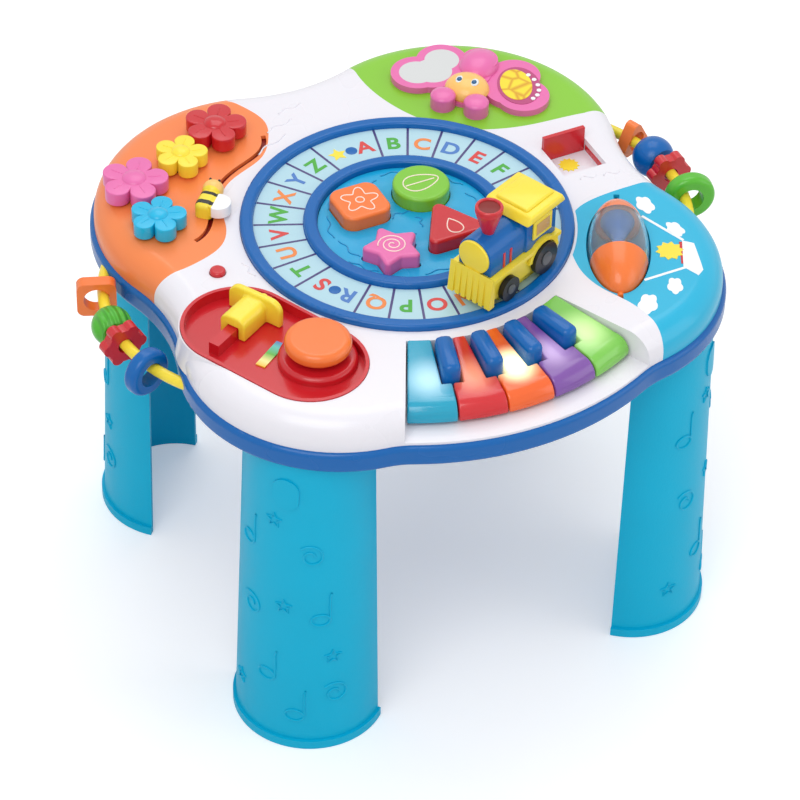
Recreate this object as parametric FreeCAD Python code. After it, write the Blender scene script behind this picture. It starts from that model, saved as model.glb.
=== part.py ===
import FreeCAD, Part
import math
import os

os.makedirs("parts", exist_ok=True)
V = FreeCAD.Vector

# Heights of the table
leg_height = 257.5
tray_height = 16.5
tray_floor = 3.0
rim_width = 8.0
shell_height = 23.0
shell_wall = 3.0
shoulder_r = 18.0
rim_ledge = 3.0

# Plan of the table top: round lobes joined by shallow hollows
back_lobe_x = 75.0
back_lobe_y = 75.0
back_lobe_r = 120.0
front_lobe_x = 88.0
front_lobe_y = 74.0
front_lobe_r = 108.0
side_hollow_r = 115.0
back_hollow_r = 120.0
front_hollow_r = 60.0
front_bulge_r = 205.0

# Legs
leg_angle = 47.5
leg_foot_u = 174.0
leg_foot_r = 52.0
leg_top_u = 172.0
leg_top_r = 46.0
leg_wall = 3.0
foot_lip = 2.0
foot_lip_height = 7.0
latch_width = 19.0
latch_height = 26.0
latch_proud = 1.2
latch_drop = 14.0
spigot_depth = 25.0
spigot_wall = 2.5

# Letter track and pond
track_r = 115.0
rail_width = 9.0
pond_r = 61.5
inner_rail_width = 9.7
track_thick = 4.5
rail_height = 4.5
pond_thick = 4.0

# Clearances
fit = 0.3
slide_gap = 0.4
button_gap = 0.6
key_gap = 0.9

# Shape buttons in the pond
shape_rise = 10.0
shape_body = 16.0
shape_travel = 3.0
square_side = 36.0
square_corner = 9.0
disc_button_r = 20.0
star_r = 23.0
star_inner_r = 13.5
star_round = 3.0
triangle_reach = 24.0
triangle_round = 5.0

# Keyboard
key_start = 243.5
key_pitch = 10.6
key_count = 5
key_back_r = 125.0
key_front_r = 187.0
key_rise = 1.5
key_front_drop = 5.0
key_lift = 2.8
key_tail = 14.0
ledge_thick = 2.0
pocket_wall = 2.5
upper_width = 13.0
upper_back_r = 128.0
upper_front_r = 163.0
upper_rise = 8.5

# Flower buttons
flower_float = 2.3
flower_thick = 11.0
flower_stem_r = 8.0
flower_stem_depth = 9.0

# Bee and its slot
slot_width = 3.4
bee_length = 20.0
bee_width = 13.0
bee_height = 12.0

# Control dish
dish_x1 = -149.5
dish_y1 = -50.0
dish_r1 = 39.5
dish_x2 = -123.0
dish_y2 = -104.0
dish_r2 = 39.0
dish_depth = 7.0
dish_wall = 2.5
dome_r = 27.0
dome_rise = 6.0
knob_r = 22.5
knob_thick = 11.0
knob_x = -114.0
knob_y = -97.0
knob_float = 4.0
knob_stem_r = 7.0
rail_angle = 30.0
rail_x = -147.0
rail_y = -47.0
rail_length = 62.0
rail_wide = 8.0
rail_tall = 9.0
arrow_length = 26.0
arrow_width = 20.0
arrow_height = 17.0
flange_thick = 4.0
flange_width = 42.0
arrow_ahead = 3.0
strip_length = 27.0
strip_width = 7.0
strip_thick = 2.0
power_x = -140.0
power_y = 6.0
power_r = 5.5
power_rise = 3.0

# Roller
roller_x = 119.0
roller_y = -85.0
roller_angle = 62.7
roller_half = 48.0
roller_r = 21.0
roller_sink = 1.0
roller_wall = 2.0
roller_gap = 1.2
cradle_wall = 3.0
low_cap = 32.0
high_cap = 22.0
pin_r = 2.2
pin_gap = 0.06
pin_length = 3.2
core_r = 12.0
core_neck_r = 3.5

# Picture pocket and its sliding door
pocket_x0 = 122.6
pocket_x1 = 156.0
pocket_y0 = 0.5
pocket_y1 = 35.0
pocket_depth = 10.5
pocket_box_wall = 2.0
door_lip_thick = 3.0
door_lip_rise = 10.0
door_plate_thick = 2.5
door_plate_length = 30.0

# Bead loops
rod_r = 4.0
loop_r = 119.3
loop_x = 93.7
loop_y = 10.0
loop_angle = 36.0
rod_rise = 8.5

# Butterfly
fly_x = 114.0
fly_y = 123.0
fly_angle = 45.6
wing_thick = 5.0
head_r = 14.0
head_height = 12.0
head_base = 3.0
body_r = 13.0
body_height = 10.0
antenna_r = 9.0
mirror_inset = 6.0
mirror_thick = 1.2

# Train, on the track
train_angle = -66.0
train_r = 88.0
shoe_height = 5.0
shoe_half_width = 11.0
board_width = 36.0
board_thick = 3.0
board_height = 26.0
board_back = -34.0
board_front = 38.0
rear_wheel_r = 12.0
front_wheel_r = 9.0
rear_axle = -16.0
front_axle = 22.0
wheel_thick = 4.0
wheel_face = 20.0
axle_r = 1.8
axle_gap = 0.08
fender_thick = 3.0
boiler_width = 27.0
boiler_height = 25.4
boiler_front = 37.4
cab_front = 1.0
cab_back = -31.0
cab_width = 30.0
cab_height = 26.0
roof_length = 42.0
roof_width = 39.0
roof_thick = 7.0
roof_lean = 4.0
chimney_x = 24.0
chimney_base_r = 4.0
chimney_top_r = 9.5
chimney_height = 21.0
catcher_length = 5.0

# Inside
door_x = -20.0
door_length = 96.0
door_width = 66.0
door_thick = 2.4
box_height = 16.0
box_wall = 2.0
board_x = -10.0
board_length = 90.0
board_depth = 70.0
board_sheet = 1.6
speaker_x = 66.0
speaker_y = 0.0
speaker_r = 25.0
speaker_height = 14.0
screw_shaft_r = 1.5
screw_head_r = 3.4
screw_head = 2.0
screw_length = 16.0
boss_r = 4.5

z_tray = leg_height
z_floor = z_tray + tray_floor
z_rim = z_tray + tray_height
z_top = z_rim + shell_height
z_under = z_top - shell_wall
shapes = {}


def box(x0, x1, y0, y1, z0, z1):
    return Part.makeBox(x1 - x0, y1 - y0, z1 - z0, V(x0, y0, z0))


def cyl(x, y, z0, z1, r):
    return Part.makeCylinder(r, z1 - z0, V(x, y, z0))


def ring(r0, r1, z0, z1):
    return cyl(0, 0, z0, z1, r1).cut(cyl(0, 0, z0 - 1, z1 + 1, r0))


def prism(wire, z0, z1):
    face = Part.Face(wire)
    face.translate(V(0, 0, z0))
    return face.extrude(V(0, 0, z1 - z0))


def turn(angle, r=1.0):
    a = math.radians(angle)
    return V(r * math.cos(a), r * math.sin(a), 0)


def unit(v):
    return v * (1.0 / v.Length)


def place(shape, x, y, z, angle):
    """Moves a shape built along +X to a place, turned about the vertical."""
    moved = shape.copy()
    moved.rotate(V(0, 0, 0), V(0, 0, 1), angle)
    moved.translate(V(x, y, z))
    return moved


def arc_through(a, m, b):
    return Part.Arc(a, m, b).toShape()


def hollow_centre(c1, r1, c2, r2, r):
    """Centre of the hollow that touches two discs, right of the way from c1 to c2."""
    way = c2 - c1
    gap = way.Length
    along = ((r1 + r) ** 2 - (r2 + r) ** 2 + gap * gap) / (2 * gap)
    across = math.sqrt((r1 + r) ** 2 - along * along)
    u = unit(way)
    return c1 + u * along + V(u.y, -u.x, 0) * across


def outline(inset):
    """Lobed outline of the top, drawn inwards by inset."""
    discs = [(V(0, 0, 0), front_bulge_r),
             (V(front_lobe_x, -front_lobe_y, 0), front_lobe_r),
             (V(back_lobe_x, back_lobe_y, 0), back_lobe_r),
             (V(-back_lobe_x, back_lobe_y, 0), back_lobe_r),
             (V(-front_lobe_x, -front_lobe_y, 0), front_lobe_r)]
    hollows = [front_hollow_r, side_hollow_r, back_hollow_r, side_hollow_r, front_hollow_r]
    count = len(discs)
    centres = []
    for i in range(count):
        c1, r1 = discs[i]
        c2, r2 = discs[(i + 1) % count]
        centres.append(hollow_centre(c1, r1, c2, r2, hollows[i]))
    edges = []
    for i in range(count):
        c, r = discs[i]
        before = unit(centres[i - 1] - c)
        after = unit(centres[i] - c)
        r = r - inset
        edges.append(arc_through(c + before * r, c + unit(before + after) * r, c + after * r))
        c2, r2 = discs[(i + 1) % count]
        h = hollows[i] + inset
        leave = unit(c - centres[i])
        meet = unit(c2 - centres[i])
        p = centres[i]
        edges.append(arc_through(p + leave * h, p + unit(leave + meet) * h, p + meet * h))
    return Part.Wire(edges)


def sector(r0, r1, a0, a1, z0, z1):
    mid = (a0 + a1) / 2
    edges = [arc_through(turn(a0, r1), turn(mid, r1), turn(a1, r1)),
             Part.makeLine(turn(a1, r1), turn(a1, r0)),
             arc_through(turn(a1, r0), turn(mid, r0), turn(a0, r0)),
             Part.makeLine(turn(a0, r0), turn(a0, r1))]
    return prism(Part.Wire(edges), z0, z1)


def polygon(points):
    pts = [V(p[0], p[1], 0) for p in points]
    return Part.makePolygon(pts + [pts[0]])


def side_view(points, y0, y1):
    """A solid whose side view in the X-Z plane is the polygon."""
    pts = [V(p[0], y0, p[1]) for p in points]
    face = Part.Face(Part.makePolygon(pts + [pts[0]]))
    return face.extrude(V(0, y1 - y0, 0))


def pill(x1, y1, r1, x2, y2, r2):
    """Outline round two discs of nearly the same size."""
    u = unit(V(x2 - x1, y2 - y1, 0))
    n = V(-u.y, u.x, 0)
    a = V(x1, y1, 0)
    b = V(x2, y2, 0)
    edges = [Part.makeLine(a - n * r1, b - n * r2),
             arc_through(b - n * r2, b + u * r2, b + n * r2),
             Part.makeLine(b + n * r2, a + n * r1),
             arc_through(a + n * r1, a - u * r1, a - n * r1)]
    return Part.Wire(edges)


def region(edge_points, outer_points):
    """Outline of a lobe panel: a smooth inner edge closed by lines outside the table."""
    pts = [V(p[0], p[1], 0) for p in edge_points]
    curve = Part.BSplineCurve()
    curve.interpolate(pts)
    outer = [V(p[0], p[1], 0) for p in outer_points]
    path = [pts[-1]] + outer + [pts[0]]
    edges = [curve.toShape()]
    for i in range(len(path) - 1):
        edges.append(Part.makeLine(path[i], path[i + 1]))
    return Part.Wire(edges)


def round_edges(shape, radius, test):
    chosen = [e for e in shape.Edges if test(e)]
    return shape.makeFillet(radius, chosen)


def at_height(z):
    def test(e):
        b = e.BoundBox
        return abs(b.ZMin - z) < 0.01 and abs(b.ZMax - z) < 0.01
    return test


def upright(e):
    b = e.BoundBox
    return b.XLength < 0.01 and b.YLength < 0.01 and b.ZLength > 1


# Top moulding: a shouldered shell that is later parted into its panels
skin_block = round_edges(prism(outline(rim_ledge), z_rim, z_top), shoulder_r, at_height(z_top))
inner_inset = rim_ledge + shell_wall
inner_block = round_edges(prism(outline(inner_inset), z_rim - 1, z_under), shoulder_r - shell_wall,
                          at_height(z_under))
shell = skin_block.cut(inner_block)

orange_edge = [(-54, 178), (-44, 158), (-41, 144), (-47, 125), (-60, 108), (-78, 99), (-96, 89),
               (-110, 66), (-115, 47), (-126, 31), (-143, 23), (-162, 19), (-180, 19)]
green_edge = [(170, 58), (151, 60), (128, 62), (98, 70), (78, 81), (60, 102), (50, 123),
              (44, 146), (43, 170)]
sky_edge = [(103, -180), (103, -160), (98, -139), (88, -118), (84, -98), (88, -74), (98, -51),
            (113, -36), (135, -30), (157, -29), (172, -29)]
orange_region = region(orange_edge, [(-260, 19), (-260, 260), (-54, 260)])
green_region = region(green_edge, [(43, 260), (260, 260), (260, 58)])
sky_region = region(sky_edge, [(260, -29), (260, -260), (103, -260)])


seat_outer = track_r + 1.8


def lobe(wire):
    return prism(wire, z_rim - 5, z_top + 5).cut(cyl(0, 0, 0, z_top + 10, seat_outer + fit))


flower_panel = shell.common(lobe(orange_region))
meadow_panel = shell.common(lobe(green_region))
sky_panel = shell.common(lobe(sky_region))
top_panel = shell.cut(lobe(orange_region))
top_panel = top_panel.cut(lobe(green_region))
top_panel = top_panel.cut(lobe(sky_region))

# Keyboard pocket
key_end = key_start + key_pitch * key_count
pocket_inner = sector(key_back_r - slide_gap, 260, key_start - 0.3, key_end + 0.3,
                      z_rim + ledge_thick, z_top + 20)
wall_turn = math.degrees(pocket_wall / key_back_r)
pocket_outer = sector(key_back_r - slide_gap - pocket_wall, 260, key_start - 0.3 - wall_turn,
                      key_end + 0.3 + wall_turn, z_rim, z_top)
top_panel = top_panel.fuse(skin_block.common(pocket_outer))
top_panel = top_panel.cut(pocket_inner)

# Seat of the track
ledge_z = z_top - track_thick
ring_cut = cyl(0, 0, z_tray, z_top + 10, track_r + fit)
top_panel = top_panel.cut(ring_cut)
seat = ring(track_r - 3, seat_outer, ledge_z - 2.5, ledge_z)
seat = seat.fuse(ring(track_r + fit, seat_outer, ledge_z, z_under + 0.5))
top_panel = top_panel.fuse(seat)

# Picture pocket with a sliding door behind it
pocket_floor = z_top - pocket_depth
plate_top = z_under - slide_gap
well = box(pocket_x0 - pocket_box_wall, pocket_x1 + pocket_box_wall, pocket_y0 - pocket_box_wall,
           pocket_y1 + door_plate_length + 4, pocket_floor - pocket_box_wall, z_under + 0.5)
hollow = box(pocket_x0, pocket_x1, pocket_y0, pocket_y1 + door_plate_length + 2, pocket_floor,
             z_under)
mouth = box(pocket_x0, pocket_x1, pocket_y0, pocket_y1, pocket_floor, z_top + 5)
top_panel = top_panel.fuse(well.cut(lobe(green_region).common(
    box(0, 300, 0, 300, z_under - fit, z_top))))
top_panel = top_panel.cut(hollow)
top_panel = top_panel.cut(mouth)
lip_y = pocket_y1 - slide_gap - door_lip_thick
door_x0 = pocket_x0 + slide_gap
door_x1 = pocket_x1 - slide_gap
lip = box(door_x0, door_x1, lip_y, lip_y + door_lip_thick, pocket_floor + fit,
          z_top + door_lip_rise)
plate = box(door_x0, door_x1, lip_y, lip_y + door_lip_thick + door_plate_length,
            plate_top - door_plate_thick, plate_top)
shapes["picture_door"] = lip.fuse(plate)

# Control dish, let into the top
dish_hole = prism(pill(dish_x1, dish_y1, dish_r1 + fit, dish_x2, dish_y2, dish_r2 + fit),
                  z_tray, z_top + 10)
dish_skirt = dish_depth + dish_wall
dish_outer = prism(pill(dish_x1, dish_y1, dish_r1, dish_x2, dish_y2, dish_r2),
                   z_top - dish_skirt, z_top + 0.8)
dish_inner = prism(pill(dish_x1, dish_y1, dish_r1 - dish_wall, dish_x2, dish_y2,
                        dish_r2 - dish_wall), z_top - dish_depth, z_top + 10)
control = dish_outer.cut(dish_inner)
dish_floor = z_top - dish_depth
dome_top = z_top - dish_depth + dome_rise
dome = round_edges(cyl(knob_x, knob_y, dish_floor - 0.5, dome_top, dome_r), 4.0,
                   at_height(dome_top))
dome = dome.common(prism(pill(dish_x1, dish_y1, dish_r1 - 0.5, dish_x2, dish_y2,
                              dish_r2 - 0.5), dish_floor - 1, z_top + 20))
control = control.fuse(dome)
control = control.cut(cyl(knob_x, knob_y, z_tray, z_top + 20, knob_stem_r + slide_gap))
guide = place(box(-rail_length / 2, rail_length / 2, -rail_wide / 2, rail_wide / 2,
                  -0.5, rail_tall), rail_x, rail_y, dish_floor, rail_angle)
control = control.fuse(guide)
strip_box = place(box(-strip_length / 2, strip_length / 2, -strip_width / 2, strip_width / 2,
                      0, strip_thick), -140, -79, dish_floor - 1.0, 34)
control = control.cut(strip_box)
shapes["control_panel"] = control
shapes["light_strip"] = strip_box
top_panel = top_panel.cut(dish_hole)
knob_base = dome_top + knob_float
knob = round_edges(cyl(knob_x, knob_y, knob_base, knob_base + knob_thick, knob_r), 5.0,
                   lambda e: e.BoundBox.XLength > knob_r and e.BoundBox.ZLength < 0.01)
knob = knob.fuse(cyl(knob_x, knob_y, dish_floor - dish_wall - 3, knob_base + 1, knob_stem_r))
shapes["big_knob"] = knob

# Arrow-shaped slider astride its guide
arch = box(-arrow_length / 2, arrow_length / 2, -arrow_width / 2, arrow_width / 2, 0,
           arrow_height)
arch = round_edges(arch, 7.0, lambda e: abs(e.BoundBox.ZMin - arrow_height) < 0.01
                   and e.BoundBox.XLength > 5)
head = box(arrow_length / 2 - 1, arrow_length / 2 + flange_thick, -flange_width / 2,
           flange_width / 2, 0, arrow_height + 3)
head = round_edges(head, 9.0, lambda e: e.BoundBox.XLength > 1 and e.BoundBox.ZLength < 0.01
                   and e.BoundBox.ZMin > 5)
tip_start = arrow_length / 2 + flange_thick
tip = prism(polygon([(tip_start - 1, -flange_width / 2 + 3), (tip_start + 9, 0),
                     (tip_start - 1, flange_width / 2 - 3)]), 0, arrow_height - 5)
arrow = arch.fuse(head)
arrow = arrow.fuse(tip)
arrow = arrow.cut(box(-60, 60, -rail_wide / 2 - slide_gap, rail_wide / 2 + slide_gap, -1,
                      rail_tall - fit + slide_gap))
ahead = turn(rail_angle, arrow_ahead)
shapes["arrow_slider"] = place(arrow, rail_x + ahead.x, rail_y + ahead.y, dish_floor + fit,
                               rail_angle)

# Small round power button
top_panel = top_panel.cut(cyl(power_x, power_y, z_tray, z_top + 5, power_r + slide_gap))
power = cyl(power_x, power_y, z_under - 4, z_top + power_rise, power_r)
shapes["power_button"] = round_edges(power, 2.0, at_height(z_top + power_rise))

# Screw bosses under the top
screw_spots = [(0, 150), (-168, -2), (166, -12), (-108, -166), (93, -163)]
boss_foot = z_floor + 0.5
for x, y in screw_spots:
    top_panel = top_panel.fuse(cyl(x, y, boss_foot, z_under + 0.5, boss_r)
                               .common(skin_block.fuse(inner_block)
                                       .fuse(prism(outline(inner_inset), z_tray, z_rim))))
for x, y in screw_spots:
    top_panel = top_panel.cut(cyl(x, y, boss_foot - 1, z_tray + screw_length + 3,
                                  screw_shaft_r))
shapes["top_panel"] = top_panel

print("top done", top_panel.isValid(), len(top_panel.Solids))
# Shape buttons and the pond plate that they come through


def square_block(grow, z0, z1):
    h = square_side / 2 + grow
    block = box(-h, h, -h, h, z0, z1)
    return round_edges(block, square_corner + grow, upright)


def star_block(grow, z0, z1):
    pts = []
    for i in range(10):
        r = (star_r if i % 2 == 0 else star_inner_r) + grow * 1.4
        p = turn(90 + 36 * i, r)
        pts.append((p.x, p.y))
    return round_edges(prism(polygon(pts), z0, z1), star_round, upright)


def triangle_block(grow, z0, z1):
    r = triangle_reach + triangle_round + 2 * grow
    pts = [(turn(a, r).x, turn(a, r).y) for a in (90, 210, 330)]
    return round_edges(prism(polygon(pts), z0, z1), triangle_round + grow, upright)


def disc_block(grow, z0, z1):
    return cyl(0, 0, z0, z1, disc_button_r + grow)


pond = cyl(0, 0, z_top - pond_thick - 0.5, z_top - 0.5, pond_r)
spots = [("square_button", square_block, -24, 25), ("disc_button", disc_block, 23, 25),
         ("star_button", star_block, -25, -28), ("triangle_button", triangle_block, 22, -24)]
for name, block, x, y in spots:
    low = z_top + shape_rise - shape_body
    cap = block(0, low, z_top + shape_rise)
    cap = round_edges(cap, 2.5, at_height(z_top + shape_rise))
    cap.translate(V(x, y, 0))
    opening = block(button_gap, z_top - 20, z_top + 5)
    opening.translate(V(x, y, 0))
    pond = pond.cut(opening)
    shapes[name] = cap
shapes["pond_plate"] = pond

track = ring(pond_r + fit, track_r, ledge_z, z_top)
outer_rail = ring(track_r - rail_width, track_r, z_top - 0.5, z_top + rail_height)
inner_rail = ring(pond_r + fit, pond_r + inner_rail_width, z_top - 0.5, z_top + rail_height)
rail_top = at_height(z_top + rail_height)
track = track.fuse(round_edges(outer_rail, 2.5, rail_top))
track = track.fuse(round_edges(inner_rail, 2.5, rail_top))
pond_seat = z_top - pond_thick - 0.5
track = track.fuse(ring(pond_r - 1.5, pond_r + 4, pond_seat - 2, pond_seat))
track = track.fuse(ring(pond_r + fit, pond_r + 4, pond_seat - 1, ledge_z + 0.5))
shapes["track_ring"] = track

# Keys: a fan of five, with four short raised keys between them
key_base = z_rim + ledge_thick + key_lift
key_top = z_top + key_rise
key_low = z_top - key_front_drop
gap_turn = math.degrees(key_gap / 2 / key_front_r)
upper_slot = upper_width / 2 + key_gap


def key_profile():
    r0 = key_back_r
    r1 = key_front_r
    pts = [V(r0, 0, key_top - key_tail), V(r0, 0, key_top), V(r1 - 12, 0, key_low)]
    edges = [Part.makeLine(pts[0], pts[1]), Part.makeLine(pts[1], pts[2])]
    knee = V(r1 - 3, 0, key_low - 3.5)
    brow = V(r1, 0, key_low - 10)
    edges.append(arc_through(pts[2], knee, brow))
    rest = [brow, V(r1, 0, key_base), V(r1 - 22, 0, key_base),
            V(r1 - 26, 0, key_top - key_tail), pts[0]]
    for i in range(len(rest) - 1):
        edges.append(Part.makeLine(rest[i], rest[i + 1]))
    return Part.Face(Part.Wire(edges))


def upper_bounds():
    return [key_start + key_pitch * i for i in range(1, key_count)]


for i in range(key_count):
    a0 = key_start + key_pitch * i + gap_turn
    profile = key_profile()
    profile.rotate(V(0, 0, 0), V(0, 0, 1), a0)
    key = profile.revolve(V(0, 0, 0), V(0, 0, 1), key_pitch - 2 * gap_turn)
    for a in upper_bounds():
        slot = box(key_back_r - 5, upper_front_r + key_gap, -upper_slot, upper_slot,
                   z_rim, z_top + 30)
        key = key.cut(place(slot, 0, 0, 0, a))
    shapes["key_%d" % (i + 1)] = key
upper_top = z_top + upper_rise
upper_low = key_top - key_tail
for i, a in enumerate(upper_bounds()):
    side = [(upper_back_r, upper_low), (upper_back_r, upper_top - 3),
            (upper_back_r + 3, upper_top), (upper_front_r - 8, upper_top),
            (upper_front_r - 1, upper_top - 5), (upper_front_r, upper_low)]
    upper = side_view(side, -upper_width / 2, upper_width / 2)
    upper = round_edges(upper, 2.0, lambda e: e.BoundBox.ZMin > upper_top - 0.1
                        and e.BoundBox.XLength > 5)
    shapes["upper_key_%d" % (i + 1)] = place(upper, 0, 0, 0, a)

# Flower buttons on stems


def flower(x, y, reach, z):
    petal = reach * 0.43
    cap = cyl(x, y, z, z + flower_thick, reach * 0.62)
    for i in range(5):
        p = turn(90 + 72 * i, reach - petal)
        cap = cap.fuse(cyl(x + p.x, y + p.y, z, z + flower_thick - 1, petal))
    cap = cap.fuse(cyl(x, y, z + 1, z + flower_thick + 2, reach * 0.27))
    return cap.fuse(cyl(x, y, z - flower_stem_depth, z + 1, flower_stem_r))


flowers = [("flower_red", -80, 143, 22.5), ("flower_yellow", -115, 123, 19.0),
           ("flower_pink", -156, 110, 24.0), ("flower_blue", -157, 67, 20.0)]
for name, x, y, reach in flowers:
    low = z_top + flower_float
    if name in ("flower_pink", "flower_blue"):
        low = low - 0.5
    shapes[name] = flower(x, y, reach, low)
    flower_panel = flower_panel.cut(cyl(x, y, z_tray, z_top + 5, flower_stem_r + slide_gap))

# S-shaped slot for the bee, and the bee on its face
slot_points = [V(-49, 130, 0), V(-58, 115, 0), V(-78, 105, 0), V(-96, 95, 0),
               V(-110, 80, 0), V(-119, 63, 0), V(-127, 51, 0), V(-140, 43, 0)]
slot_curve = Part.BSplineCurve()
slot_curve.interpolate(slot_points)


def beside(t, off):
    p = slot_curve.value(t)
    d = unit(slot_curve.tangent(t)[0])
    return p + V(-d.y, d.x, 0) * off


def slot_side(off):
    first = slot_curve.FirstParameter
    last = slot_curve.LastParameter
    pts = [beside(first + (last - first) * i / 16.0, off) for i in range(17)]
    c = Part.BSplineCurve()
    c.interpolate(pts)
    return pts, c.toShape()


left_pts, left_edge = slot_side(slot_width / 2)
right_pts, right_edge = slot_side(-slot_width / 2)
slot_wire = Part.Wire([left_edge, Part.makeLine(left_pts[-1], right_pts[-1]), right_edge,
                       Part.makeLine(right_pts[0], left_pts[0])])
flower_panel = flower_panel.cut(prism(slot_wire, z_under - 2, z_top + 2))
shapes["flower_panel"] = flower_panel
shapes["meadow_panel"] = meadow_panel
bee = box(-bee_length / 2, bee_length / 2, -bee_width / 2, bee_width / 2, 0, bee_height)
bee = round_edges(bee, 4.5, lambda e: e.BoundBox.ZMin > bee_height - 0.1 or upright(e))
bee_head = Part.makeSphere(7.5, V(bee_length / 2 + 3, 0, 7.8))
bee_wing = cyl(-2, -9, 3, 11, 8.5)
bee = bee.fuse(bee_head).fuse(bee_wing)
shapes["bee"] = place(bee, -119, 70, z_top + fit, 47)

# Roller: an egg-shaped drum in a cradle under the sky panel


def egg(half, r):
    """Solid of revolution about X: an ellipse of the given half length and radius."""
    curve = Part.Ellipse(V(half, 0, 0), V(0, r, 0), V(0, 0, 0))
    arc = Part.ArcOfEllipse(curve, 0, math.pi).toShape()
    face = Part.Face(Part.Wire([arc, Part.makeLine(V(-half, 0, 0), V(half, 0, 0))]))
    return face.revolve(V(0, 0, 0), V(1, 0, 0), 360)


roller_z = z_top - roller_sink


def at_roller(shape):
    return place(shape, roller_x, roller_y, roller_z, roller_angle)


drum_room = at_roller(egg(roller_half + roller_gap, roller_r + roller_gap))
grow = roller_gap + cradle_wall
cradle = at_roller(egg(roller_half + grow, roller_r + grow))
cradle = cradle.common(box(0, 260, -260, 60, z_tray, z_under - fit))
collar = skin_block.common(lobe(sky_region)).common(box(0, 260, -260, 60, z_under - 1, z_top))
collar = collar.common(at_roller(Part.makeCylinder(roller_r + grow, 2 * (roller_half + grow),
                                                   V(-roller_half - grow, 0, 0), V(1, 0, 0))))
cradle = cradle.fuse(collar)
cradle = cradle.cut(cyl(0, 0, z_tray, z_top + 10, seat_outer + fit))
axle_line = Part.makeCylinder(pin_r + pin_gap, 2 * (roller_half + 10), V(-roller_half - 10, 0, 0),
                              V(1, 0, 0))
boss = Part.makeCylinder(pin_r + 3, 2 * (roller_half + grow + 1),
                         V(-roller_half - grow - 1, 0, 0), V(1, 0, 0))
boss = at_roller(boss).common(box(0, 260, -260, 60, z_tray, z_under - fit))
sky_panel = sky_panel.fuse(cradle).fuse(boss)
sky_panel = sky_panel.cut(drum_room)
sky_panel = sky_panel.cut(at_roller(axle_line))
shapes["sky_panel"] = sky_panel
drum = egg(roller_half, roller_r)
low_x = low_cap - roller_half
high_x = roller_half - high_cap
skin = drum.cut(egg(roller_half - roller_wall, roller_r - roller_wall))
pins = Part.makeCylinder(pin_r, 2 * (roller_half + pin_length),
                         V(-roller_half - pin_length, 0, 0), V(1, 0, 0))
side_box = box(-80, low_x, -40, 40, -40, 40).fuse(box(high_x, 80, -40, 40, -40, 40))
caps = drum.common(side_box)
hollow_egg = egg(roller_half - roller_wall, roller_r - roller_wall)
inner_part = hollow_egg.common(box(low_x + -1, high_x + 1, -40, 40, -40, 40))
caps = caps.cut(inner_part)
pin_box = box(-80, low_x - 1, -40, 40, -40, 40).fuse(box(high_x + 1, 80, -40, 40, -40, 40))
caps = caps.fuse(pins.common(pin_box))
shapes["roller_caps"] = at_roller(caps)
shapes["roller_window"] = at_roller(skin.common(box(low_x, high_x, -40, 40, -40, 40)))
mid_x = (low_x + high_x) / 2
half_core = (high_x - low_x) / 2 + 1
core = Part.makeCone(core_r, core_neck_r, half_core - 3, V(mid_x - half_core, 0, 0), V(1, 0, 0))
core = core.fuse(Part.makeCylinder(core_neck_r, 8, V(mid_x - 4, 0, 0), V(1, 0, 0)))
core = core.fuse(Part.makeCone(core_neck_r, core_r, half_core - 3, V(mid_x + 3, 0, 0),
                               V(1, 0, 0)))
shapes["roller_core"] = at_roller(core)

# Butterfly plate on the meadow panel


def fly_at(u, v):
    p = turn(fly_angle, u) + turn(fly_angle + 90, v)
    return fly_x + p.x, fly_y + p.y


def wing(z0, z1, inset, side):
    out = None
    for u, v, r in ((-8.1, 39.7, 19.0), (12.3, 27.5, 18.5), (-2.5, 29.7, 20.0)):
        x, y = fly_at(u, v * side)
        disc = cyl(x, y, z0, z1, r - inset)
        out = disc if out is None else out.fuse(disc)
    return out


fly_z = z_top
plate = wing(fly_z, fly_z + wing_thick, 0, 1).fuse(wing(fly_z, fly_z + wing_thick, 0, -1))
bx, by = fly_at(16, 0)
plate = plate.fuse(cyl(bx, by, fly_z, fly_z + body_height, body_r))
nx, ny = fly_at(2, 0)
plate = plate.fuse(cyl(nx, ny, fly_z, fly_z + wing_thick + 1, body_r - 1))
for side in (-1, 1):
    ax, ay = fly_at(-33, 12.4 * side)
    plate = plate.fuse(cyl(ax, ay, fly_z, fly_z + body_height - 1, antenna_r))
    ax, ay = fly_at(-24, 8 * side)
    plate = plate.fuse(cyl(ax, ay, fly_z, fly_z + wing_thick, antenna_r - 3))
plate = plate.cut(wing(fly_z + wing_thick - mirror_thick, fly_z + wing_thick + 0.1,
                       mirror_inset, 1))
hx, hy = fly_at(-15, 0)
plate = plate.fuse(cyl(hx, hy, fly_z, fly_z + head_base, head_r + 2))
plate = plate.cut(cyl(hx, hy, fly_z + head_base, fly_z + 30, head_r))
shapes["butterfly_plate"] = plate
shapes["butterfly_mirror"] = wing(fly_z + wing_thick - mirror_thick, fly_z + wing_thick,
                                  mirror_inset, 1)
head = cyl(hx, hy, fly_z + head_base, fly_z + head_height, head_r)
shapes["butterfly_head"] = round_edges(head, 5.0, at_height(fly_z + head_height))

# Tray, spigots and legs


def c_section(u, r, z):
    """Open half ring of a leg: the outline of its outer face closed across the open side."""
    edges = [arc_through(V(u, -r, z), V(u + r, 0, z), V(u, r, z)),
             Part.makeLine(V(u, r, z), V(u, -r, z))]
    return Part.Wire(edges)


def leg_body(grow, z0, z1):
    bottom = c_section(leg_foot_u, leg_foot_r + grow, z0)
    top = c_section(leg_top_u, leg_top_r + grow, z1)
    return Part.makeLoft([bottom, top], True, True)


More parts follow.
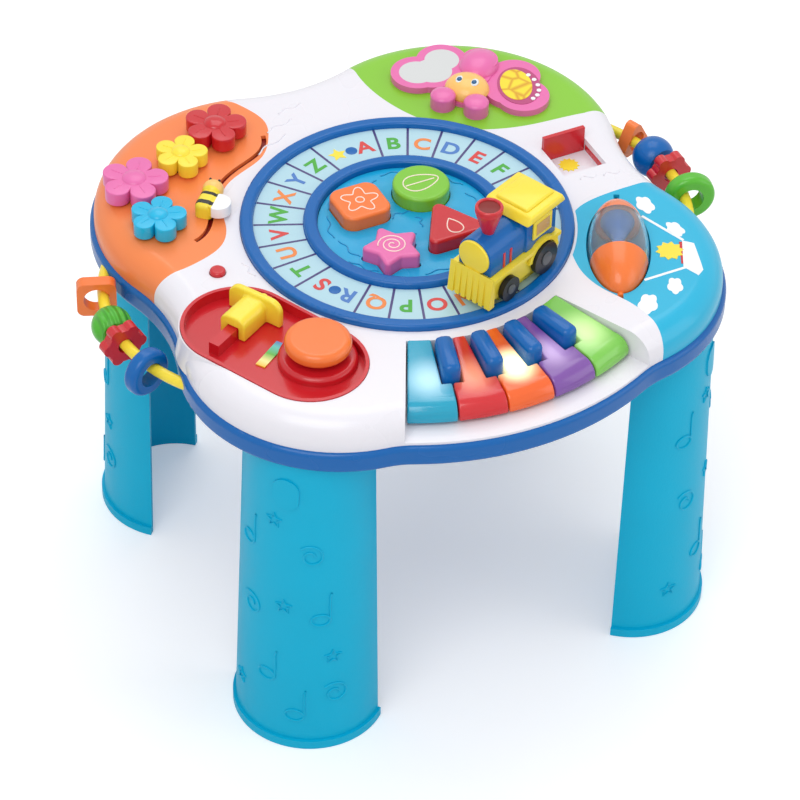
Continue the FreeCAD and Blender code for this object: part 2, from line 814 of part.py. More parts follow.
def leg():
    outer = leg_body(0, 0, leg_height)
    lip = prism(c_section(leg_foot_u, leg_foot_r + foot_lip, 0), 0, foot_lip_height)
    skin = leg_body(latch_proud, 0, leg_height)
    half = latch_width / 2
    z_mid = leg_height - latch_drop - latch_height / 2
    low = V(0, 0, z_mid - latch_height / 2 + half)
    high = V(0, 0, z_mid + latch_height / 2 - half)
    patch = Part.makeCylinder(half, 400, low, V(1, 0, 0))
    patch = patch.fuse(Part.makeCylinder(half, 400, high, V(1, 0, 0)))
    patch = patch.fuse(box(0, 400, -half, half, low.z, high.z))
    solid = outer.fuse(lip).fuse(skin.common(patch))
    inner = leg_body(-leg_wall, 0, leg_height)
    room = inner.fuse(box(0, leg_foot_u + 0.1, -400, 400, -1, leg_height + 1))
    inner_low = prism(c_section(leg_foot_u, leg_foot_r - leg_wall, 0), -1, 0.2)
    return solid.cut(room).cut(inner_low)


one_leg = leg()
tray = prism(outline(0), z_tray, z_rim)
tray = round_edges(tray, 4.0, lambda e: at_height(z_rim)(e) or at_height(z_tray)(e))
tray = tray.cut(prism(outline(rim_width), z_floor, z_rim + 1))
spigot_r = leg_top_r - leg_wall - fit
spigot = prism(c_section(leg_top_u, spigot_r, 0), z_tray - spigot_depth, z_tray + 0.5)
spigot = spigot.cut(prism(c_section(leg_top_u - 0.1, spigot_r - spigot_wall, 0),
                          z_tray - spigot_depth - 1, z_tray))
leg_sides = [("leg_back_right", 90 - leg_angle), ("leg_back_left", 90 + leg_angle),
             ("leg_front_left", 270 - leg_angle), ("leg_front_right", 270 + leg_angle)]
for name, a in leg_sides:
    shapes[name] = place(one_leg, 0, 0, 0, a)
    tray = tray.fuse(place(spigot, 0, 0, 0, a))

# Bead loops at the two sides


def loop_point(side, angle):
    p = turn(angle, loop_r)
    return V(side * (loop_x + p.x), loop_y + p.y, z_tray + rod_rise)


rods = None
for side in (-1, 1):
    start = loop_point(1, -loop_angle)
    circle = Part.Face(Part.Wire(Part.makeCircle(rod_r, start, turn(90 - loop_angle))))
    rod = circle.revolve(V(loop_x, loop_y, 0), V(0, 0, 1), 2 * loop_angle)
    if side < 0:
        rod = rod.mirror(V(0, 0, 0), V(1, 0, 0))
    rods = rod if rods is None else rods.fuse(rod)
shapes["bead_rods"] = rods
tray = tray.cut(rods)


def bead(kind, thick, r, hole):
    """A bead round an axis along X, its hole at the centre."""
    h = thick / 2
    if kind == "ball":
        edge = math.sqrt(r * r - h * h)
        pts = [V(-h, 0, edge), V(0, 0, r), V(h, 0, edge), V(h, 0, hole), V(-h, 0, hole)]
        edges = [arc_through(pts[0], pts[1], pts[2]), Part.makeLine(pts[2], pts[3]),
                 Part.makeLine(pts[3], pts[4]), Part.makeLine(pts[4], pts[0])]
        return Part.Face(Part.Wire(edges)).revolve(V(0, 0, 0), V(1, 0, 0), 360)
    elif kind == "ring":
        body = Part.makeCylinder(r, thick, V(-h, 0, 0), V(1, 0, 0))
        body = round_edges(body, h * 0.7, lambda e: e.BoundBox.XLength < 0.01)
    elif kind == "lobed":
        body = Part.makeCylinder(r * 0.8, thick, V(-h, 0, 0), V(1, 0, 0))
        for i in range(6):
            p = turn(60 * i, r * 0.72)
            body = body.fuse(Part.makeCylinder(r * 0.28, thick, V(-h, p.x, p.y), V(1, 0, 0)))
    elif kind == "square":
        body = box(-h, h, -r * 0.85, r * 0.85, -r * 0.85, r * 0.85)
        body = round_edges(body, r * 0.35, lambda e: e.BoundBox.XLength > 1)
    else:
        pts = [turn(a, r * 1.25) for a in (90, 210, 330)]
        pts = [V(-h, p.x, p.y) for p in pts]
        body = Part.Face(Part.makePolygon(pts + [pts[0]])).extrude(V(thick, 0, 0))
        body = round_edges(body, r * 0.3, lambda e: e.BoundBox.XLength > 1)
    return body.cut(Part.makeCylinder(hole, thick + 2, V(-h - 1, 0, 0), V(1, 0, 0)))


beads = [("bead_left_1", -1, 20.6, "square", 9.0, 16.0, 9.0, 4.5),
         ("bead_left_2", -1, 4.8, "ball", 20.0, 14.0, 5.4, 0.0),
         ("bead_left_3", -1, -4.4, "lobed", 8.0, 16.0, 5.4, 0.0),
         ("bead_left_4", -1, -20.0, "ring", 11.0, 17.0, 9.0, 4.5),
         ("bead_right_1", 1, 20.5, "triangle", 9.0, 15.0, 7.5, 3.0),
         ("bead_right_2", 1, 8.7, "ball", 20.0, 15.0, 5.4, 0.0),
         ("bead_right_3", 1, -1.0, "lobed", 8.0, 16.0, 5.4, 0.0),
         ("bead_right_4", 1, -14.5, "ring", 12.0, 18.0, 9.0, 4.5)]
for name, side, angle, kind, thick, r, hole, out in beads:
    b = bead(kind, thick, r, hole)
    drop = math.sqrt((hole - rod_r - fit) ** 2 - out ** 2) if hole - rod_r - fit > out else 0
    b.rotate(V(0, 0, 0), V(0, 0, 1), angle + 90)
    p = loop_point(1, angle) + turn(angle, out)
    b.translate(V(p.x, p.y, p.z - drop))
    if side < 0:
        b = b.mirror(V(0, 0, 0), V(1, 0, 0))
    shapes[name] = b

# Battery compartment, its door, circuit board and speaker in the tray
half_l = door_length / 2
half_w = door_width / 2
wall_box = box(door_x - half_l - box_wall, door_x + half_l + box_wall, -half_w - box_wall,
               half_w + box_wall, z_floor - 0.5, z_floor + box_height)
inner_room = box(door_x - half_l + 4, door_x + half_l - 4, -half_w + 4, half_w - 4,
                 z_tray - 1, z_floor + box_height - box_wall)
tray = tray.fuse(wall_box).cut(inner_room)
tray = tray.cut(box(door_x - half_l - fit, door_x + half_l + fit, -half_w - fit, half_w + fit,
                    z_tray - 1, z_tray + door_thick))
shapes["battery_door"] = box(door_x - half_l, door_x + half_l, -half_w, half_w,
                             z_tray, z_tray + door_thick)
board_z = z_floor + box_height
shapes["circuit_board"] = box(board_x - board_length / 2, board_x + board_length / 2,
                              -board_depth / 2, board_depth / 2, board_z, board_z + board_sheet)
shapes["speaker"] = cyl(speaker_x, speaker_y, z_floor, z_floor + speaker_height, speaker_r)
for i in range(7):
    p = turn(60 * i, 10) if i < 6 else V(0, 0, 0)
    tray = tray.cut(cyl(speaker_x + p.x, speaker_y + p.y, z_tray - 1, z_floor + 0.01, 2.5))
screws = []
for x, y in screw_spots:
    tray = tray.cut(cyl(x, y, z_tray - 1, z_tray + screw_head, screw_head_r + fit))
    tray = tray.cut(cyl(x, y, z_tray - 1, z_floor + 1, screw_shaft_r + 0.05))
    screw = cyl(x, y, z_tray, z_tray + screw_head, screw_head_r)
    screws.append(screw.fuse(cyl(x, y, z_tray + 1, z_tray + screw_length, screw_shaft_r)))
shapes["housing_screws"] = Part.makeCompound(screws)
shapes["base_tray"] = tray

# Train astride the letter band; built along +X, facing forward


def at_train(shape):
    p = turn(train_angle, train_r)
    return place(shape, p.x, p.y, z_top, train_angle - 90)


def cross_bar(x, z, r, y0, y1):
    return Part.makeCylinder(r, y1 - y0, V(x, y0, z), V(0, 1, 0))


ground = rail_height + fit
rear_z = ground + rear_wheel_r
front_z = ground + front_wheel_r
half_board = board_width / 2
inside = wheel_face - wheel_thick - slide_gap
board_top = board_height + board_thick
board = box(board_back, board_front, -half_board, half_board, board_height, board_top)
wheel_room = cross_bar(rear_axle, rear_z, rear_wheel_r + 1, -40, 40)
fender = cross_bar(rear_axle, rear_z, rear_wheel_r + 1 + fender_thick, -half_board, half_board)
fender = fender.cut(box(-80, 80, -40, 40, -5, rear_z + 2))
block = box(board_back, board_front, -inside, inside, front_z - 4, board_height + 0.5)
chassis = board.fuse(fender).cut(wheel_room)
chassis = chassis.fuse(block)
shoe_top = front_z - 3
shoe = box(-24, 24, -shoe_half_width, shoe_half_width, fit, shoe_top)
chassis = chassis.fuse(shoe)
catcher = side_view([(board_front - 0.5, board_top), (board_front - 0.5, ground + 2),
                     (board_front + catcher_length, ground + 2),
                     (board_front + 2, board_top + 2)], -half_board, half_board)
for i in range(6):
    y = -half_board + 4.6 + i * 5.0
    cut = side_view([(board_front + catcher_length + 2, ground),
                     (board_front + 5, board_top + 4),
                     (board_front + 2, board_top + 4),
                     (board_front + catcher_length - 1.5, ground)], y, y + 1.8)
    catcher = catcher.cut(cut)
chassis = chassis.fuse(catcher)
for x, z in ((rear_axle, rear_z), (front_axle, front_z)):
    chassis = chassis.cut(cross_bar(x, z, axle_r + axle_gap, -40, 40))
boiler_base = board_top
half_boiler = boiler_width / 2
boiler = box(cab_front - 1, boiler_front, -half_boiler, half_boiler, boiler_base,
             boiler_base + boiler_height - half_boiler)
barrel_z = boiler_base + boiler_height - half_boiler
barrel = Part.makeCylinder(half_boiler, boiler_front - cab_front + 1,
                           V(cab_front - 1, 0, barrel_z), V(1, 0, 0))
barrel = barrel.common(box(-80, 80, -40, 40, boiler_base, 90))
cab = box(cab_back, cab_front, -cab_width / 2, cab_width / 2, boiler_base,
          boiler_base + cab_height)
boiler = boiler.fuse(barrel).fuse(cab)
fender_room = cross_bar(rear_axle, rear_z, rear_wheel_r + 1 + fender_thick, -half_board,
                        half_board)
boiler = boiler.cut(fender_room)
shapes["train_body"] = at_train(boiler)
shapes["train_chassis"] = at_train(chassis)
roof_z = boiler_base + cab_height
roof_mid = (cab_back + cab_front) / 2
lean = roof_lean
half_roof = roof_length / 2
roof = side_view([(roof_mid - half_roof, roof_z), (roof_mid + half_roof, roof_z),
                  (roof_mid + half_roof - lean, roof_z + roof_thick),
                  (roof_mid - half_roof + lean, roof_z + roof_thick)],
                 -roof_width / 2, roof_width / 2)
shapes["train_roof"] = at_train(roof)
barrel_top = barrel_z + half_boiler
funnel = Part.makeCone(chimney_base_r, chimney_top_r, chimney_height - 3,
                       V(chimney_x, 0, barrel_top - 1.0), V(0, 0, 1))
funnel = funnel.fuse(Part.makeCylinder(chimney_top_r, 3,
                                       V(chimney_x, 0, barrel_top + chimney_height - 4)))
body_cut = boiler.common(funnel)
shapes["train_chimney"] = at_train(funnel.cut(body_cut))


def wheel_set(x, z, r):
    out = cross_bar(x, z, axle_r, -wheel_face, wheel_face)
    for y in (-wheel_face, wheel_face - wheel_thick):
        out = out.fuse(cross_bar(x, z, r, y, y + wheel_thick))
    return out


shapes["train_rear_wheels"] = at_train(wheel_set(rear_axle, rear_z, rear_wheel_r))
shapes["train_front_wheels"] = at_train(wheel_set(front_axle, front_z, front_wheel_r))

# Everything is put out about the middle of its footprint
whole = Part.makeCompound(list(shapes.values()))
limits = whole.optimalBoundingBox(False, False)
shift = V(-(limits.XMin + limits.XMax) / 2, -(limits.YMin + limits.YMax) / 2, 0)
print("shift", shift, "size", limits.XLength, limits.YLength, limits.ZLength)
for name in sorted(shapes):
    shape = shapes[name]
    if not shape.isValid() or not shape.Solids:
        print("check", name, shape.isValid(), len(shape.Solids))
    shape.translate(shift)
    if len(shape.Solids) == 1:
        shape = shape.Solids[0]
    shape.exportStep("parts/%s.step" % name)
    print(name, len(shape.Solids), round(shape.Volume / 1000, 2))
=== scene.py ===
# %% [markdown]
# # A musical activity table
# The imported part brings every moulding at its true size. This lesson dresses it: plastics with
# their own gloss and grain, printed letters, small inlays and raised ornament, then light and
# camera.

# %% Load the frame
import bpy
import math
from mathutils import Matrix, Vector


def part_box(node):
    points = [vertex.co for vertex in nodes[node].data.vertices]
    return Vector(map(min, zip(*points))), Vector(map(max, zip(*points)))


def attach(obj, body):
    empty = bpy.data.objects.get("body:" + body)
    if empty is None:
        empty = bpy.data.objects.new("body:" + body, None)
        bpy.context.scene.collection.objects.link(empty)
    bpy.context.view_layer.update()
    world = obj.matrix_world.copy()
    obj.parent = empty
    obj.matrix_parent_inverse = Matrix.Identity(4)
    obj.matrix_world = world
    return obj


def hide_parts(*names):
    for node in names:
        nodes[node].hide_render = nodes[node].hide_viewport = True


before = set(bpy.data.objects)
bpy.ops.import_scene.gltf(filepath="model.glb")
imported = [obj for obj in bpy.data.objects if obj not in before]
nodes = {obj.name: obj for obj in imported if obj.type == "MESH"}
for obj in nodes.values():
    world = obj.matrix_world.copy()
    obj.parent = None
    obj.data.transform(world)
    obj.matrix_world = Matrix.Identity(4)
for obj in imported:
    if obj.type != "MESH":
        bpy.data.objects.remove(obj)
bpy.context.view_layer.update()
bpy.ops.object.select_all(action="DESELECT")
centre = (Vector(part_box("track_ring")[0]) + Vector(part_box("track_ring")[1])) / 2
print("nodes", len(nodes), "track centre", centre[:])

# %% [markdown]
# All sizes below are read in millimetres from the middle of the letter track, because the table is
# laid out round it. One helper turns them into the frame's metres.

# %% Places in millimetres
TRACK_R = 88      # middle of the letter band
PRINT_Z = 297.16  # level of flat print on the band, under the train
CELLS = 27        # places round the band: 26 letters and a star
FLY_X, FLY_Y, FLY_ANGLE = 114, 123, 45.6
BEE_X, BEE_Y, BEE_ANGLE = -119, 70, 47
DISH_X, DISH_Y = -149.5, -50
FIRST_LEG = 42.5


def at(x, y, z):
    return Vector((centre.x + x / 1000, centre.y + y / 1000, z / 1000))


def polar(angle, r, z):
    a = math.radians(angle)
    return at(r * math.cos(a), r * math.sin(a), z)


print("letter A stands near", polar(83, TRACK_R, PRINT_Z)[:])

# %% [markdown]
# ## Moulded plastic
# Injection-moulded toys are one colour all through, with a faint orange-peel skin and tiny shifts
# of tone. A node group makes both, so that every plastic here shares the same skin.

# %% Group for the moulded skin


def moulded_group():
    g = bpy.data.node_groups.new("moulded_skin", "ShaderNodeTree")
    g.interface.new_socket("Color", in_out="INPUT", socket_type="NodeSocketColor")
    g.interface.new_socket("Tone", in_out="INPUT", socket_type="NodeSocketFloat")
    g.interface.new_socket("Grain", in_out="INPUT", socket_type="NodeSocketFloat")
    g.interface.new_socket("Gloss", in_out="INPUT", socket_type="NodeSocketFloat")
    g.interface.new_socket("Color", in_out="OUTPUT", socket_type="NodeSocketColor")
    g.interface.new_socket("Roughness", in_out="OUTPUT", socket_type="NodeSocketFloat")
    g.interface.new_socket("Normal", in_out="OUTPUT", socket_type="NodeSocketVector")
    n, link = g.nodes, g.links
    gin, gout = n.new("NodeGroupInput"), n.new("NodeGroupOutput")
    coord = n.new("ShaderNodeTexCoord")
    cloud = n.new("ShaderNodeTexNoise")
    cloud.inputs["Scale"].default_value = 18
    peel = n.new("ShaderNodeTexNoise")
    peel.inputs["Scale"].default_value = 900
    shade = n.new("ShaderNodeMapRange")
    shade.inputs["To Min"].default_value = -0.5
    shade.inputs["To Max"].default_value = 0.5
    amount = n.new("ShaderNodeMath")
    amount.operation = "MULTIPLY"
    lift = n.new("ShaderNodeMath")
    lift.operation = "ADD"
    lift.inputs[1].default_value = 1.0
    hsv = n.new("ShaderNodeHueSaturation")
    rough = n.new("ShaderNodeMath")
    rough.operation = "MULTIPLY_ADD"
    rough.inputs[1].default_value = 0.12
    bump = n.new("ShaderNodeBump")
    bump.inputs["Distance"].default_value = 0.0004
    for tex in (cloud, peel):
        link.new(coord.outputs["Object"], tex.inputs["Vector"])
    link.new(cloud.outputs["Fac"], shade.inputs["Value"])
    link.new(shade.outputs["Result"], amount.inputs[0])
    link.new(gin.outputs["Tone"], amount.inputs[1])
    link.new(amount.outputs[0], lift.inputs[0])
    link.new(lift.outputs[0], hsv.inputs["Value"])
    link.new(gin.outputs["Color"], hsv.inputs["Color"])
    link.new(cloud.outputs["Fac"], rough.inputs[0])
    link.new(gin.outputs["Gloss"], rough.inputs[2])
    link.new(peel.outputs["Fac"], bump.inputs["Height"])
    link.new(gin.outputs["Grain"], bump.inputs["Strength"])
    link.new(hsv.outputs["Color"], gout.inputs["Color"])
    link.new(rough.outputs[0], gout.inputs["Roughness"])
    link.new(bump.outputs["Normal"], gout.inputs["Normal"])
    return g


skin_group = moulded_group()
print("group sockets", len(skin_group.interface.items_tree))

# %% Materials from the group


def linear(hexa):
    rgb = [int(hexa[i:i + 2], 16) / 255 for i in (0, 2, 4)]
    return [c / 12.92 if c < 0.04045 else ((c + 0.055) / 1.055) ** 2.4 for c in rgb] + [1.0]


def plastic(name, hexa, gloss=0.24, grain=0.12, tone=0.06, coat=0.25, shine=0.35):
    m = bpy.data.materials.new(name)
    m.use_nodes = True
    n, link = m.node_tree.nodes, m.node_tree.links
    shader = n["Principled BSDF"]
    group = n.new("ShaderNodeGroup")
    group.node_tree = skin_group
    group.name = "skin"
    group.inputs["Color"].default_value = linear(hexa)
    group.inputs["Tone"].default_value = tone
    group.inputs["Grain"].default_value = grain
    group.inputs["Gloss"].default_value = gloss
    link.new(group.outputs["Color"], shader.inputs["Base Color"])
    link.new(group.outputs["Roughness"], shader.inputs["Roughness"])
    link.new(group.outputs["Normal"], shader.inputs["Normal"])
    shader.inputs["Coat Weight"].default_value = coat
    shader.inputs["Coat Roughness"].default_value = 0.12
    shader.inputs["Specular IOR Level"].default_value = shine
    shader.inputs["Subsurface Weight"].default_value = 0.06
    shader.inputs["Subsurface Radius"].default_value = (0.004, 0.003, 0.003)
    return m


def dress(material, *names):
    for name in names:
        nodes[name].data.materials.clear()
        nodes[name].data.materials.append(material)


blue = plastic("deep_blue_gloss", "0462AE", 0.2, coat=0.18, shine=0.25)
white = plastic("white_gloss", "E9E7EE", 0.22, tone=0.02)
orange = plastic("orange_panel_satin", "F3874A", 0.3)
button_orange = plastic("orange_gloss", "F27A36", 0.2)
green = plastic("meadow_green_satin", "86C72F", 0.3)
sky = plastic("sky_blue_satin", "1CB2D9", 0.28)
leg_blue = plastic("leg_cyan", "00B0D6", 0.36, grain=0.3, tone=0.08, coat=0.05, shine=0.2)
red = plastic("red_gloss", "C91D28", 0.18, coat=0.4)
yellow = plastic("yellow_gloss", "F7DF3E", 0.22)
pink = plastic("pink_gloss", "E56FAE", 0.24)
peach = plastic("peach_gloss", "FBC56C", 0.25)
bead_green = plastic("bead_green", "58B82E", 0.22)
disc_green = plastic("leaf_green_gloss", "7DC334", 0.2)
black = plastic("black_satin", "15181C", 0.35)
flower_blue_gloss = plastic("aqua_gloss", "14B5E0", 0.22)
# darker red used only inside the slot and the chimney mouth: painted shade in those hollows
shade_red = plastic("painted_shade_red", "7E120C", 0.5)
purple_line = plastic("divider_purple", "4A3F78", 0.4)
cell_blue = plastic("letter_cell_pale_blue", "B2D6E2", 0.35, tone=0.03)
board_green = plastic("board_lacquer", "1E6B3A", 0.3)
steel = plastic("screw_zinc", "A8A9AD", 0.3)
steel.node_tree.nodes["Principled BSDF"].inputs["Metallic"].default_value = 1.0
print("materials", len(bpy.data.materials))

# %% [markdown]
# ## Dress the mouldings
# Most CAD nodes already have the right form, so each only takes its plastic.

# %% Hand out the plastics
dress(blue, "base_tray", "battery_door", "track_ring", "upper_key_1", "upper_key_2", "upper_key_3",
      "upper_key_4", "roller_core", "train_body", "bead_left_4", "bead_right_2")
dress(white, "top_panel")
dress(orange, "flower_panel")
dress(button_orange, "big_knob", "square_button", "roller_caps", "bead_left_1", "bead_right_1")
dress(green, "meadow_panel")
dress(disc_green, "disc_button")
dress(sky, "sky_panel")
dress(leg_blue, "leg_back_left", "leg_back_right", "leg_front_left", "leg_front_right")
dress(red, "control_panel", "picture_door", "power_button", "triangle_button", "flower_red",
      "train_chimney", "bead_left_3", "bead_right_3")
dress(yellow, "arrow_slider", "bead_rods", "train_chassis", "train_roof", "flower_yellow")
dress(pink, "star_button", "flower_pink", "butterfly_plate")
dress(flower_blue_gloss, "flower_blue")
dress(peach, "butterfly_head")
dress(bead_green, "bead_left_2", "bead_right_4")
dress(black, "train_front_wheels", "train_rear_wheels", "speaker")
dress(board_green, "circuit_board")
dress(steel, "housing_screws")
print("dressed", sum(1 for o in nodes.values() if o.data.materials))

# %% [markdown]
# ## The pond
# The pond plate is bright cyan with shallow ripples. The ripples are low, so a bump is enough.

# %% Pond with ripples
pond = plastic("pond_cyan", "17A6D8", 0.2)


def add_bump(material, texture, scale, strength, distance):
    n, link = material.node_tree.nodes, material.node_tree.links
    coord = n.new("ShaderNodeTexCoord")
    tex = n.new(texture)
    tex.inputs["Scale"].default_value = scale
    bump = n.new("ShaderNodeBump")
    bump.inputs["Strength"].default_value = strength
    bump.inputs["Distance"].default_value = distance
    link.new(coord.outputs["Object"], tex.inputs["Vector"])
    link.new(tex.outputs[0], bump.inputs["Height"])
    link.new(n["skin"].outputs["Normal"], bump.inputs["Normal"])
    link.new(bump.outputs["Normal"], n["Principled BSDF"].inputs["Normal"])
    return tex


ripples = add_bump(pond, "ShaderNodeTexWave", 22, 0.6, 0.0012)
ripples.wave_type = "RINGS"
ripples.inputs["Distortion"].default_value = 9
ripples.inputs["Detail"].default_value = 1
dress(pond, "pond_plate")
ribbed = plastic("bead_ribbed_green", "4DB52C", 0.24)
add_bump(ribbed, "ShaderNodeTexWave", 60, 0.8, 0.002)
dress(ribbed, "bead_left_2")
print("pond bump scale", ripples.inputs["Scale"].default_value)

# %% [markdown]
# ## Clear and lit plastics
# The keys are tinted and let light through. A soft pale glow in the middle of each stands for the
# lamp under it, strongest in the middle key. The window is smoky and the mirror is a silvered
# sheet.

# %% Tinted keys


def lit_key(name, hexa, glow_hex, x, y, reach, power):
    m = plastic(name, hexa, 0.16, tone=0.02, coat=0.5)
    n, link = m.node_tree.nodes, m.node_tree.links
    shader = n["Principled BSDF"]
    coord = n.new("ShaderNodeTexCoord")
    spot = at(x, y, 297)
    dist = n.new("ShaderNodeVectorMath")
    dist.operation = "DISTANCE"
    dist.inputs[1].default_value = spot
    fade = n.new("ShaderNodeMapRange")
    fade.interpolation_type = "SMOOTHSTEP"
    fade.inputs["From Min"].default_value = reach / 1000
    fade.inputs["From Max"].default_value = 0.001
    mix = n.new("ShaderNodeMix")
    mix.data_type = "RGBA"
    mix.inputs["B"].default_value = linear(glow_hex)
    glow = n.new("ShaderNodeMix")
    glow.data_type = "RGBA"
    glow.inputs["A"].default_value = (0, 0, 0, 1)
    glow.inputs["B"].default_value = linear(glow_hex)
    link.new(coord.outputs["Object"], dist.inputs[0])
    link.new(dist.outputs["Value"], fade.inputs["Value"])
    link.new(fade.outputs["Result"], mix.inputs["Factor"])
    link.new(n["skin"].outputs["Color"], mix.inputs["A"])
    link.new(mix.outputs["Result"], shader.inputs["Base Color"])
    link.new(fade.outputs["Result"], glow.inputs["Factor"])
    link.new(glow.outputs["Result"], shader.inputs["Emission Color"])
    shader.inputs["Emission Strength"].default_value = power
    return m


key_finish = [("key_teal", "0C9FC0", "A9D8E8", 23, 0.3), ("key_red", "D2232B", "EE9070", 22, 0.3),
              ("key_orange", "F26522", "FFF6C0", 20, 1.6),
              ("key_purple", "7E4FA4", "B99BD0", 20, 0.3),
              ("key_green", "7CC94F", "C8F09C", 24, 0.3)]
for i, (name, hexa, glow_hex, reach, power) in enumerate(key_finish):
    a = math.radians(243.5 + 10.6 * (i + 0.5))
    m = lit_key(name, hexa, glow_hex, 160 * math.cos(a), 160 * math.sin(a), reach, power)
    dress(m, "key_%d" % (i + 1))
    print("lit", name)

# %% Window, mirror and rainbow strip
window = bpy.data.materials.new("smoke_window")
window.use_nodes = True
shader = window.node_tree.nodes["Principled BSDF"]
shader.inputs["Base Color"].default_value = (0.78, 0.86, 0.92, 1)
shader.inputs["Transmission Weight"].default_value = 0.9
shader.inputs["Roughness"].default_value = 0.06
shader.inputs["IOR"].default_value = 1.2
haze = window.node_tree.nodes.new("ShaderNodeTexNoise")
haze.inputs["Scale"].default_value = 60
haze_coord = window.node_tree.nodes.new("ShaderNodeTexCoord")
haze_range = window.node_tree.nodes.new("ShaderNodeMapRange")
haze_range.inputs["To Min"].default_value = 0.03
haze_range.inputs["To Max"].default_value = 0.1
window.node_tree.links.new(haze_coord.outputs["Object"], haze.inputs["Vector"])
window.node_tree.links.new(haze.outputs["Fac"], haze_range.inputs["Value"])
window.node_tree.links.new(haze_range.outputs["Result"], shader.inputs["Roughness"])
dress(window, "roller_window")
mirror = plastic("mirror_sheet", "E2E4E4", 0.02, grain=0.0, tone=0.02, coat=0)
mirror.node_tree.nodes["Principled BSDF"].inputs["Metallic"].default_value = 1.0
dress(mirror, "butterfly_mirror")


def ramp_along(material, start, end, stops, stepped=False):
    """Colours a plastic along the line from start to end, both in metres."""
    n, link = material.node_tree.nodes, material.node_tree.links
    coord = n.new("ShaderNodeTexCoord")
    way = Vector(end) - Vector(start)
    sub = n.new("ShaderNodeVectorMath")
    sub.operation = "SUBTRACT"
    sub.inputs[1].default_value = start
    dot = n.new("ShaderNodeVectorMath")
    dot.operation = "DOT_PRODUCT"
    dot.inputs[1].default_value = way / way.length_squared
    ramp = n.new("ShaderNodeValToRGB")
    ramp.color_ramp.interpolation = "CONSTANT" if stepped else "LINEAR"
    cells = ramp.color_ramp.elements
    for i, (place, hexa) in enumerate(stops):
        cell = cells[i] if i < 2 else cells.new(place)
        cell.position = place
        cell.color = linear(hexa)
    link.new(coord.outputs["Object"], sub.inputs[0])
    link.new(sub.outputs["Vector"], dot.inputs[0])
    link.new(dot.outputs["Value"], ramp.inputs["Fac"])
    link.new(ramp.outputs["Color"], n["skin"].inputs["Color"])
    return material


rainbow = ramp_along(plastic("rainbow_lens", "FFFFFF", 0.12),
                     at(-151, -87, 290), at(-129, -71, 290),
                     [(0.0, "F4C838"), (1.0, "5B7FC8"), (0.2, "FFF0A0"), (0.5, "5DB83A"),
                      (0.8, "62C8C0")])
dress(rainbow, "light_strip")
bee_turn = math.radians(BEE_ANGLE)
bee_axis = Vector((math.cos(bee_turn), math.sin(bee_turn), 0))
bee_mid = at(BEE_X, BEE_Y, 300)
bee = ramp_along(plastic("bee_stripes", "F7DF3E", 0.25), bee_mid - bee_axis * 0.011,
                 bee_mid + bee_axis * 0.020,
                 [(0.0, "F5DD3C"), (0.12, "1C1A12"), (0.24, "F5DD3C"), (0.44, "1C1A12"),
                  (0.54, "F5DD3C"), (0.66, "FBC870")], True)
dress(bee, "bee")
print("bee stripes", 2)

# %% [markdown]
# ## The letter band
# The cells are a printed ring between the two rails. The ring starts as a circle, is extruded
# inwards and given a thickness, and the dividers are one bevelled bar copied round it.

# %% Helpers for finished pieces


def finish(obj, material, body="table"):
    bpy.ops.object.select_all(action="DESELECT")
    obj.select_set(True)
    bpy.context.view_layer.objects.active = obj
    if obj.type != "MESH":
        bpy.ops.object.convert(target="MESH")
        obj = bpy.context.view_layer.objects.active
    bpy.ops.object.transform_apply(location=True, rotation=True, scale=True)
    for mod in list(obj.modifiers):
        bpy.ops.object.modifier_apply(modifier=mod.name)
    bpy.ops.object.mode_set(mode="EDIT")
    bpy.ops.mesh.select_all(action="SELECT")
    bpy.ops.mesh.remove_doubles(threshold=0.00001)
    bpy.ops.mesh.normals_make_consistent(inside=False)
    bpy.ops.object.mode_set(mode="OBJECT")
    bpy.ops.object.shade_smooth_by_angle(angle=math.radians(35))
    obj.data.materials.clear()
    obj.data.materials.append(material)
    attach(obj, body)
    obj.select_set(False)
    return obj


def modify(obj, kind, **values):
    mod = obj.modifiers.new(kind.lower(), kind)
    for key, value in values.items():
        setattr(mod, key, value)
    return mod


def ring_sheet(name, r0, r1, z, thick, material):
    bpy.ops.mesh.primitive_circle_add(vertices=180, radius=r1 / 1000, location=at(0, 0, z))
    obj = bpy.context.active_object
    obj.name = name
    bpy.ops.object.mode_set(mode="EDIT")
    bpy.ops.mesh.extrude_region_move()
    bpy.ops.transform.resize(value=(r0 / r1, r0 / r1, 1))
    bpy.ops.object.mode_set(mode="OBJECT")
    modify(obj, "SOLIDIFY", thickness=thick / 1000, offset=1)
    return finish(obj, material)


cell_z = 297.03
ring_sheet("letter_cells", 71.7, 105.8, cell_z, 0.08, cell_blue)
print("cells at", cell_z)

# %% Dividers, dots and star


def bar(name, length, width, height, angle, r, z, material):
    bpy.ops.mesh.primitive_cube_add(size=1, location=polar(angle, r, z))
    obj = bpy.context.active_object
    obj.name = name
    obj.scale = (length / 1000, width / 1000, height / 1000)
    obj.rotation_euler = (0, 0, math.radians(angle))
    bpy.ops.object.transform_apply(location=False, rotation=False, scale=True)
    modify(obj, "BEVEL", width=height / 4000, segments=2)
    return finish(obj, material)


def turned_copy(obj, name, angle, body="table"):
    bpy.ops.object.select_all(action="DESELECT")
    obj.select_set(True)
    bpy.context.view_layer.objects.active = obj
    bpy.ops.object.duplicate()
    copy = bpy.context.active_object
    copy.name = name
    pivot = at(0, 0, 0)
    turn = Matrix.Rotation(math.radians(angle), 4, "Z")
    copy.matrix_world = Matrix.Translation(pivot) @ turn @ Matrix.Translation(-pivot)
    bpy.ops.object.transform_apply(location=True, rotation=True, scale=True)
    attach(copy, body)
    copy.select_set(False)
    return copy


